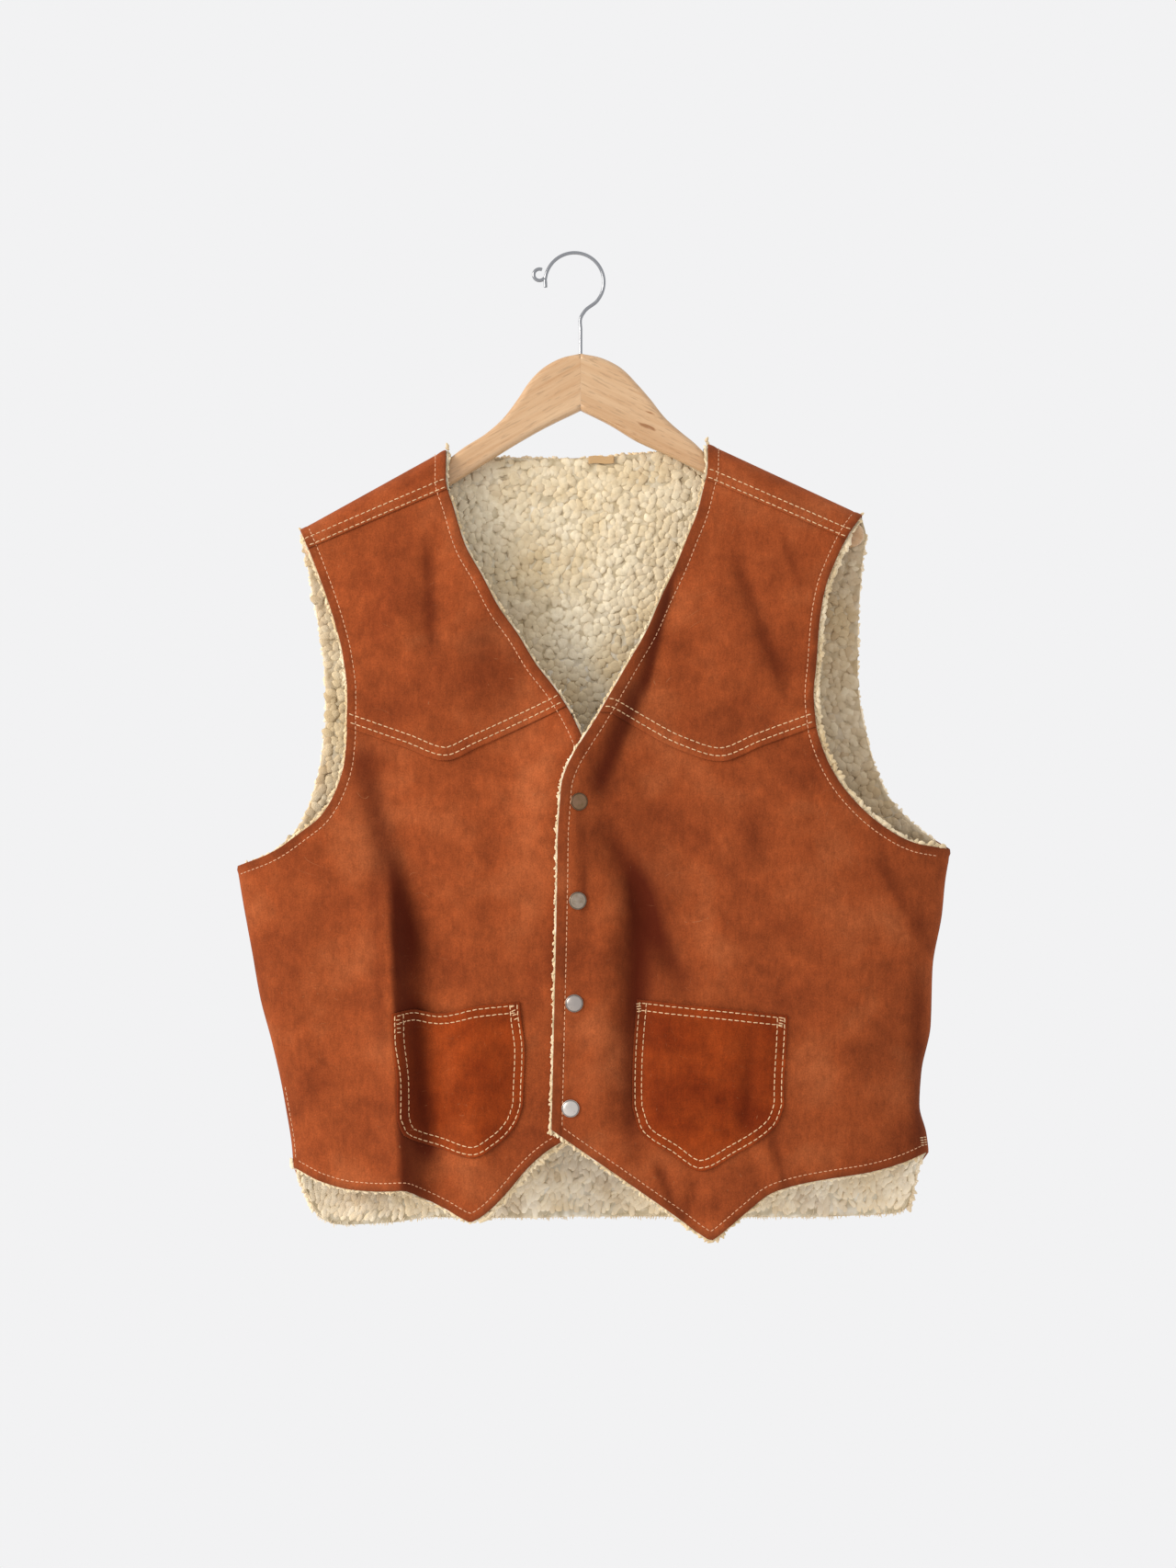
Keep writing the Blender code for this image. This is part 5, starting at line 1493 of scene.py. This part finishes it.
# Pockets
# Two patch pockets cut from a darker, redder skin. Each is turned in all round, sewn down
# along its sides and pointed foot with two rows, and topstitched twice under its open mouth.
POCKET = {
    "right": dict(inner=dict(down=(590, 609, 637, 675, 700), x=(-44.5, -43, -39.8, -41.2, -41.5)),
                  outer=dict(down=(600, 626, 665, 700), x=(-147, -146.5, -142.6, -142.5)),
                  top=dict(x=(-146, -129.5, -106, -78, -43.5), down=(607, 603.5, 606.5, 601, 597.5)),
                  foot=dict(x=(-143, -137, -110, -82, -62, -47, -41),
                            down=(690, 705, 714, 722.5, 712, 696, 680))),
    "left": dict(inner=dict(down=(585, 640, 664, 690), x=(50.5, 46, 45.3, 45.5)),
                 outer=dict(down=(600, 627, 671, 690), x=(170.5, 169.5, 167.5, 167.5)),
                 top=dict(x=(47, 100, 171), down=(595.2, 601, 608.5)),
                 foot=dict(x=(45.5, 52, 76, 100, 130, 161, 168), down=(682, 702, 719, 733, 719, 697, 680))),
}
POCKET_ROWS = (2.6, 8.4)
POCKET_SWELL = 1.5
POCKET_MOUTH = 0.9


def pocket_shape(side):
    """Edge and line functions of a pocket, and its sewn edge and mouth as lines of places."""
    outline = POCKET[side]
    inner, outer = edge_x(outline["inner"]), edge_x(outline["outer"])
    top, foot = line_drop(outline["top"]), line_drop(outline["foot"])
    sides = sorted((outline["foot"]["x"][0], outline["foot"]["x"][-1]))
    low = {x: float(foot(np.array(x, float))) for x in sides}
    mouth = sorted((float(inner(np.array(600.0))), float(outer(np.array(608.0)))))
    left_edge, right_edge = (outer, inner) if side == "right" else (inner, outer)
    left = down_edge(left_edge, float(top(np.array(mouth[0]))), low[sides[0]])
    right = down_edge(right_edge, float(top(np.array(mouth[1]))), low[sides[1]])
    sewn = np.concatenate((left, along_line(foot, *sides), right[::-1]))
    return inner, outer, top, foot, sewn, along_line(top, *mouth)


def pocket_lift(side, x, down):
    """Height of a pocket's face over the front: it lies on the front at its sewn edge, swells
    a little behind it, stands open at its mouth, and each row of stitches pulls it in."""
    *_, sewn, mouth = pocket_shape(side)
    far, below = distance_to(sewn, x, down), distance_to(mouth, x, down)
    lift = SUEDE + 0.25 + POCKET_SWELL * soft_step(far, 9, 34)
    lift += POCKET_MOUTH * (1 - soft_step(below, 0, 22)) * soft_step(far, 8, 26)
    for row in POCKET_ROWS:
        lift += groove(far, row) + pucker(far, row, x, down, 101)
        lift += groove(below, row) + pucker(below, row, x, down, 102)
    return lift + puff(far, POCKET_ROWS[0]) * 0.6, np.minimum(far, below)


def pocket_face(side, x, down):
    """Points and normals of a pocket's outer face."""
    points, normals = front_surface(side, x, down)
    return points + normals * pocket_lift(side, x, down)[0][..., None], normals


pocket_hide = suede("dark chestnut suede", "#85350F", "#6C2507", "#93411A", 1000.0)
POCKET_NEAR = (0.0, 0.35, 0.9, 1.7, 2.6, 3.6, 5.2, 7.0, 8.4, 9.8, 12.0)
for side, area in (("right", 0.0113), ("left", 0.0134)):
    inner, outer, top, foot, sewn, mouth = pocket_shape(side)
    x, down = grid_between(inner, outer, [top, foot], spread(POCKET_NEAR, POCKET_NEAR, 28),
                           spread(POCKET_NEAR, POCKET_NEAR, 28))
    outer_face, outward = front_surface(side, x, down)
    lift, border = pocket_lift(side, x, down)
    # The pocket takes half of the front's painted light and shade, which darkens it along the fold's shadow.
    make_suede("pocket_" + side, outer_face + outward * lift[..., None], outward, x, down, [sewn, mouth],
               border + 5.0, painted(x, down) * 0.5, pocket_hide)

# Stitching
# Bonded polyester thread sewn by machine: a fine orange-tan one, 6 stitches to the inch,
# along the borders, and a heavier cream one, 5 to the inch, on the laps and pockets.
THREADS = {
    "tan": dict(pitch=4.1, length=3.1, radius=0.36, rise=0.24, colour="#DFA981", dip=0.5),
    "cream": dict(pitch=4.8, length=3.95, radius=0.42, rise=0.30, colour="#E2BC90", dip=0.6),
}
STITCH_ALONG = np.array((-1, -0.82, -0.3, 0.3, 0.82, 1))
STITCH_FULL = np.array((0.3, 0.85, 1, 1, 0.85, 0.3))
STITCH_SIDES = 6
STITCH_SWAYS = 0.05
SIDE_TACKED = (664, 724)
BACK_HEM_SEWN = (-219, 268)


def inset(places, distance):
    """A line of places moved square to itself, with the loops that this makes cut out. On a
    line that goes down, plus is towards +x, and on one that goes to +x it is up."""
    ahead = unit(np.gradient(places, axis=0))
    shifted = places + distance * np.stack((ahead[:, 1], -ahead[:, 0]), axis=1)
    clear = distance_to(places, shifted[:, 0], shifted[:, 1]) > abs(distance) - 0.12
    return shifted[clear]


def stitches(face, places, thread, seed):
    """Points of every stitch along a row, at even steps of the row's length on the face. A
    stitch is a capsule whose ends dip into their holes."""
    kind = THREADS[thread]
    length = run_along(face(places[:, 0], places[:, 1])[0])
    count = max(1, int(length[-1] / kind["pitch"]))
    middle = (np.arange(count) + 0.5) * length[-1] / count
    ends = []
    for half in (-0.5, 0.5):
        along = np.clip(middle + half * kind["length"], 0, length[-1])
        spot = [np.interp(along, length, places[:, axis]) for axis in (0, 1)]
        ends.append(face(*spot))
    ahead = unit(ends[1][0] - ends[0][0])
    out = ends[0][1] + ends[1][1]
    out = unit(out - (out * ahead).sum(axis=1)[:, None] * ahead)
    beside = np.cross(ahead, out)
    sway = np.random.default_rng(seed).normal(0, STITCH_SWAYS, count)[:, None]
    ahead = ahead + beside * sway
    centre = (ends[0][0] + ends[1][0]) / 2 + out * kind["rise"]
    turn = full_turn(STITCH_SIDES)
    u = STITCH_ALONG[None, :, None, None]
    full = (STITCH_FULL * kind["radius"])[None, :, None, None]
    across, rise = np.cos(turn)[None, None, :, None], np.sin(turn)[None, None, :, None]
    points = (centre[:, None, None] + ahead[:, None, None] * u * kind["length"] / 2
              + beside[:, None, None] * full * across
              + out[:, None, None] * (full * rise - kind["dip"] * u ** 4))
    return points.reshape(-1, 3)


def thread_finish(name, code):
    """Spun polyester: soft gloss, and a little darker where it has picked up dust."""
    yarn, shader = new_finish(name, Roughness=0.6, Specular_IOR_Level=0.35, Sheen_Weight=0.15)
    place = add(yarn, "TexCoord").outputs["Object"]
    ply = add(yarn, "TexNoise", {"Vector": place, "Scale": 1400.0, "Detail": 2.0})
    dust = add(yarn, "TexNoise", {"Vector": place, "Scale": 60.0, "Detail": 2.0})
    tint = add(yarn, "ValToRGB", {"Fac": dust.outputs["Fac"]}, ramp=[(0.3, grey(0.72)), (0.6, grey(1.0))])
    toned = add(yarn, "Mix", {0: 0.8, 6: srgb(code), 7: tint.outputs[0]}, data_type="RGBA",
                blend_type="MULTIPLY")
    join(yarn, toned.outputs[2], shader, "Base Color")
    relief = add(yarn, "Bump", {"Strength": 0.4, "Distance": 0.0002, "Height": ply.outputs["Fac"]})
    join(yarn, relief.outputs[0], shader, "Normal")
    return yarn


def within(side, row, margin):
    """The part of a row that lies between a front's inner and outer edge."""
    return row[between_edges(side, row[:, 0], row[:, 1], margin)]


rows = {"tan": [], "cream": []}
for side in OUTWARD:
    borders = front_borders(side)
    outline = OUTLINE[side]
    out = OUTWARD[side]
    ridge = outline["neck_edge"]["down"][0]
    face, pocket = partial(front_face, side), partial(pocket_face, side)
    centre = inset(borders["centre"], out * BORDER_ROW["centre"])
    centre = centre[(centre[:, 1] > ridge + 2) & (distance_to(borders["hem"], *centre.T) > BORDER_ROW["hem"])]
    armhole = inset(borders["armhole"], -out * BORDER_ROW["armhole"])
    armhole = armhole[armhole[:, 1] > shoulder_drop(armhole[:, 0]) + 1.5]
    armhole = armhole[np.abs(armhole[:, 0]) < abs(outline["side"]["x"][0]) - 1.5]
    hem = inset(borders["hem"], BORDER_ROW["hem"])
    hem = hem[distance_to(borders["centre"], *hem.T) > BORDER_ROW["centre"] - 0.3]
    hem = within(side, hem, 1.5)
    rows["tan"] += [(face, centre), (face, armhole), (face, hem)]
    yoke, seam = (along_line(line_drop(outline[name]), outline[name]["x"][0] - past,
                             outline[name]["x"][-1] + past) for name, past in (("yoke", 12), ("seam", 8)))
    rows["cream"] += [(face, within(side, inset(yoke, row), 1.0)) for row in YOKE_ROWS]
    rows["cream"] += [(face, within(side, inset(seam, row), 0.5)) for row in SHOULDER_ROWS]
    *_, sewn, mouth = pocket_shape(side)
    for row in POCKET_ROWS:
        u_row = inset(sewn, row)
        rows["cream"].append((pocket, u_row[distance_to(mouth, *u_row.T) > 1.2]))
        top_row = inset(mouth, -row)
        rows["cream"].append((pocket, top_row[distance_to(sewn, *top_row.T) > POCKET_ROWS[0] + 0.4]))

BAR_TACKS = (
    (pocket_face, "right", (-50.5, 601.5), (-47.0, 611.0)),
    (pocket_face, "right", (-142.5, 612.0), (-141.5, 622.0)),
    (pocket_face, "left", (165.5, 610.5), (164.0, 617.0)),
    (pocket_face, "left", (51.0, 599.0), (51.5, 605.0)),
    (front_face, "left", (278.5, 706.0), (279.5, 712.0)),
)
TACK_HALF_WIDTH = 2.6


def bar_tack(face, start, end):
    """Four stitches laid across the line from start to end, as rows one stitch long."""
    start, end = np.array(start, float), np.array(end, float)
    across = unit(np.array((end[1] - start[1], start[0] - end[0]))) * TACK_HALF_WIDTH
    return [(face, np.stack((middle - across, middle + across)))
            for middle in start + (end - start) * np.linspace(0, 1, 4)[:, None]]


for face_of, side, start, end in BAR_TACKS:
    rows["cream"] += bar_tack(partial(face_of, side), start, end)
side_row = inset(front_borders("right")["side"], 2.6)
side_row = side_row[(side_row[:, 1] > SIDE_TACKED[0]) & (side_row[:, 1] < SIDE_TACKED[1])]
rows["tan"].append((partial(front_face, "right"), side_row))

edges = back_borders()
neck_row = inset(edges["neck"], -BACK_BORDER_ROW["neck"])
neck_row = neck_row[(neck_row[:, 0] > BACK_NECK["x"][0]) & (neck_row[:, 0] < BACK_NECK["x"][-1])]
hem_row = inset(edges["hem"], BACK_BORDER_ROW["hem"])
hem_row = hem_row[(hem_row[:, 0] > BACK_HEM_SEWN[0]) & (hem_row[:, 0] < BACK_HEM_SEWN[1])]
rows["tan"] += [(back_face, neck_row), (back_face, hem_row)]
for side in OUTWARD:
    row = inset(edges["armhole_" + side], -OUTWARD[side] * BACK_BORDER_ROW["armhole"])
    row = row[np.abs(row[:, 0]) < abs(OUTLINE[side]["side"]["x"][0]) - 1.5]
    rows["tan"].append((back_face, row[row[:, 1] > shoulder_drop(row[:, 0]) + 2]))
for thread, sewn_rows in rows.items():
    points = np.concatenate([stitches(face, row, thread, 200 + number)
                             for number, (face, row) in enumerate(sewn_rows)])
    make_piece("stitching_" + thread, points, repeated(points, len(STITCH_ALONG), STITCH_SIDES),
               thread_finish(thread + " thread", THREADS[thread]["colour"]))

# Snaps
# Four ring snaps. The cap is pressed from thin plated steel, a low dome with a rolled rim,
# and set through the left front; it has worn to brass on the upper two.
SNAP_RADIUS = 7.0
SNAP_TURNS = 48
SNAP_DOME = dict(radius=(0, 0.18, 0.36, 0.54, 0.70, 0.82, 0.885, 0.93, 0.975, 1, 0.995, 0.96, 0.93, 0.93),
                 height=(2.75, 2.70, 2.55, 2.28, 1.92, 1.50, 1.22, 1.22, 1.10, 0.72, 0.35, 0.10, 0.02, -0.6))
SNAPS = dict(x=(3.0, 2.0, -0.7, -3.7), down=(437.5, 516.7, 598.7, 682.8),
             worn=(0.6, 0.3, 0.05, 0.0), dent=(0.35, 0.6, 0.1, 0.0),
             colour=("#886A54", "#A29384", "#ABA29C", "#CCC5BF"))


def plated_steel(number, worn, colour):
    """Nickel plate over brass: bright with a soft grain from handling, dull and brown where
    the plate has gone, and darker round the rim, which is settled dirt and painted contact shadow."""
    plate, shader = new_finish("worn nickel plate %d" % number, Metallic=1.0, Roughness=0.28)
    place = add(plate, "TexCoord").outputs["Object"]
    rim = add(plate, "Attribute", attribute_name="rim").outputs["Fac"]
    wear = add(plate, "TexNoise", {"Vector": place, "Scale": 210.0, "Detail": 3.0, "Roughness": 0.6})
    gone = add(plate, "MapRange", {"Value": wear.outputs["Fac"], "From Min": 0.62 - 0.45 * worn,
                                   "From Max": 0.85 - 0.3 * worn, "To Min": 0.0, "To Max": 0.55})
    tint = add(plate, "Mix", {0: gone.outputs[0], 6: srgb(colour), 7: srgb("#6E5A3C")}, data_type="RGBA")
    # Dark round the rim: dirt, and painted shadow where the cap meets the suede.
    dirt_and_shadow = add(plate, "Mix", {0: rim, 6: tint.outputs[2], 7: srgb("#33261A")}, data_type="RGBA")
    join(plate, dirt_and_shadow.outputs[2], shader, "Base Color")
    dull = add(plate, "MapRange", {"Value": wear.outputs["Fac"], "From Min": 0.3, "From Max": 0.75,
                                   "To Min": 0.24, "To Max": 0.5})
    join(plate, dull.outputs[0], shader, "Roughness")
    relief = add(plate, "Bump", {"Strength": 0.2, "Distance": 0.0001, "Height": wear.outputs["Fac"]})
    join(plate, relief.outputs[0], shader, "Normal")
    return plate


def turned_cap(radius, height, point, out, sides):
    """A profile turned about the line out of a point, closed over at its top. The top ring
    is a small flat, so that the dome has no needle-thin faces."""
    across = unit(np.cross(out, (0, 0, 1.0)))
    upward = np.cross(across, out)
    turn = full_turn(sides)
    wide = np.maximum(radius, 0.03)[:, None, None]
    points = (point + out * height[:, None, None]
              + wide * SNAP_RADIUS * (across * np.cos(turn)[:, None] + upward * np.sin(turn)[:, None]))
    return points.reshape(-1, 3), tube_faces(len(radius), sides)


dome = np.array(SNAP_DOME["radius"], float)
for number, (x, down, worn, dent, colour) in enumerate(zip(*SNAPS.values()), 1):
    point, out, _ = front_face("left", np.array([x]), np.array([down]))
    height = np.array(SNAP_DOME["height"]) - dent * np.exp(-((dome - 0.45) / 0.16) ** 2)
    points, faces = turned_cap(dome, height + 0.35, point[0], out[0], SNAP_TURNS)
    # The rim mark: a dark ring of dirt and painted contact shadow.
    rim = np.repeat(np.exp(-((dome - 0.9) / 0.05) ** 2) * 0.85, SNAP_TURNS)
    make_piece("snap_%d" % number, points, faces, plated_steel(number, worn, colour),
               ["snap_cap_%d" % number], dict(rim=rim))

# Label strip
# A short end of tan woven tape caught in the neck seam, bare, lying on the pile.
TAB = dict(x=21.0, down=164.9, width=20.5, height=6.2, thick=0.8)


def tape_strip():
    """A strip with softly rounded edges that lies over the pile and curls out a little at its
    foot: half widths times sin, half thickness times cos round a flattened ring."""
    u = np.linspace(-1, 1, 21)
    turn = full_turn(12)
    ring_down = np.sign(np.sin(turn)) * np.abs(np.sin(turn)) ** 0.35 * TAB["height"] / 2
    ring_out = np.sign(np.cos(turn)) * np.abs(np.cos(turn)) ** 0.6 * TAB["thick"] / 2
    x = TAB["x"] + u[:, None] * TAB["width"] / 2 + 0 * ring_down
    down = TAB["down"] + ring_down + 0.25 * np.sin(u * 4)[:, None]
    points, normals = back_surface(x, down)
    behind = SUEDE + GAP + PILE + 1.0 + ring_out + 0.35 * (u[:, None] ** 2) + 0.12 * ring_down
    return (points - normals * behind[..., None]).reshape(-1, 3), tube_faces(len(u), len(turn))


woven_tape, shader = new_finish("tan woven tape", Roughness=0.75, Specular_IOR_Level=0.3, Sheen_Weight=0.25)
place = add(woven_tape, "TexCoord").outputs["Object"]
warp = add(woven_tape, "TexWave", {"Vector": place, "Scale": 420.0, "Distortion": 1.0}, bands_direction="X")
weft = add(woven_tape, "TexWave", {"Vector": place, "Scale": 420.0, "Distortion": 1.0}, bands_direction="Z")
weave = add(woven_tape, "Math", {0: warp.outputs["Fac"], 1: weft.outputs["Fac"]}, operation="MULTIPLY")
tint = add(woven_tape, "ValToRGB", {"Fac": weave.outputs[0]},
           ramp=[(0.0, srgb("#B08A5C")), (0.6, srgb("#D6B384"))])
join(woven_tape, tint.outputs[0], shader, "Base Color")
relief = add(woven_tape, "Bump", {"Strength": 0.5, "Distance": 0.0002, "Height": weave.outputs[0]})
join(woven_tape, relief.outputs[0], shader, "Normal")
points, faces = tape_strip()
make_piece("label_strip", points, faces, woven_tape, ["neck_tab"])

# Floor, light and camera
# A pale room lit by one wide window on the left, with a plain floor far below the hem.
WINDOW_PLACE = (-4.0, -2.1, 0.9)
WINDOW_AIM = (0.0, 0.0, -0.4)
WINDOW_SIZE = (2.4, 2.1)
WINDOW_WATTS = 185
FLOOR_RADIUS = 2.9
FLOOR_Z = -1.9
CAMERA_PLACE = (0.0103, -2.2, -0.4234)
SENSOR_WIDTH = 36.0
FOCAL_LENGTH = 63.16

room = bpy.data.worlds.new("pale room")
room.use_nodes = True
room.node_tree.nodes["Background"].inputs["Color"].default_value = srgb("#F2F2F3")
room.node_tree.nodes["Background"].inputs["Strength"].default_value = 1.0
bpy.context.scene.world = room
bpy.context.scene.view_settings.view_transform = "Standard"

window = bpy.data.lights.new("window", "AREA")
window.shape = "RECTANGLE"
window.size, window.size_y = WINDOW_SIZE
window.energy = WINDOW_WATTS
window.color = srgb("#FFF9F0")[:3]
facing = Vector(WINDOW_AIM) - Vector(WINDOW_PLACE)
placed("window", window).matrix_world = (Matrix.Translation(WINDOW_PLACE)
                                         @ facing.to_track_quat("-Z", "Y").to_matrix().to_4x4())

floor_mesh = bpy.data.meshes.new("floor")
rim = [(FLOOR_RADIUS * math.cos(angle), FLOOR_RADIUS * math.sin(angle), FLOOR_Z)
       for angle in full_turn(96)]
floor_mesh.from_pydata(rim, [], [list(range(len(rim)))])
floor_finish, shader = new_finish("painted floor", Roughness=0.8, Base_Color=srgb("#E9E9EA"))
floor_mesh.materials.append(floor_finish)
floor = placed("floor", floor_mesh)

lens = bpy.data.cameras.new("camera")
lens.sensor_width = SENSOR_WIDTH
lens.lens = FOCAL_LENGTH
camera = placed("camera", lens)
camera.location = CAMERA_PLACE
camera.rotation_euler = (math.pi / 2, 0, 0)
bpy.context.scene.camera = camera
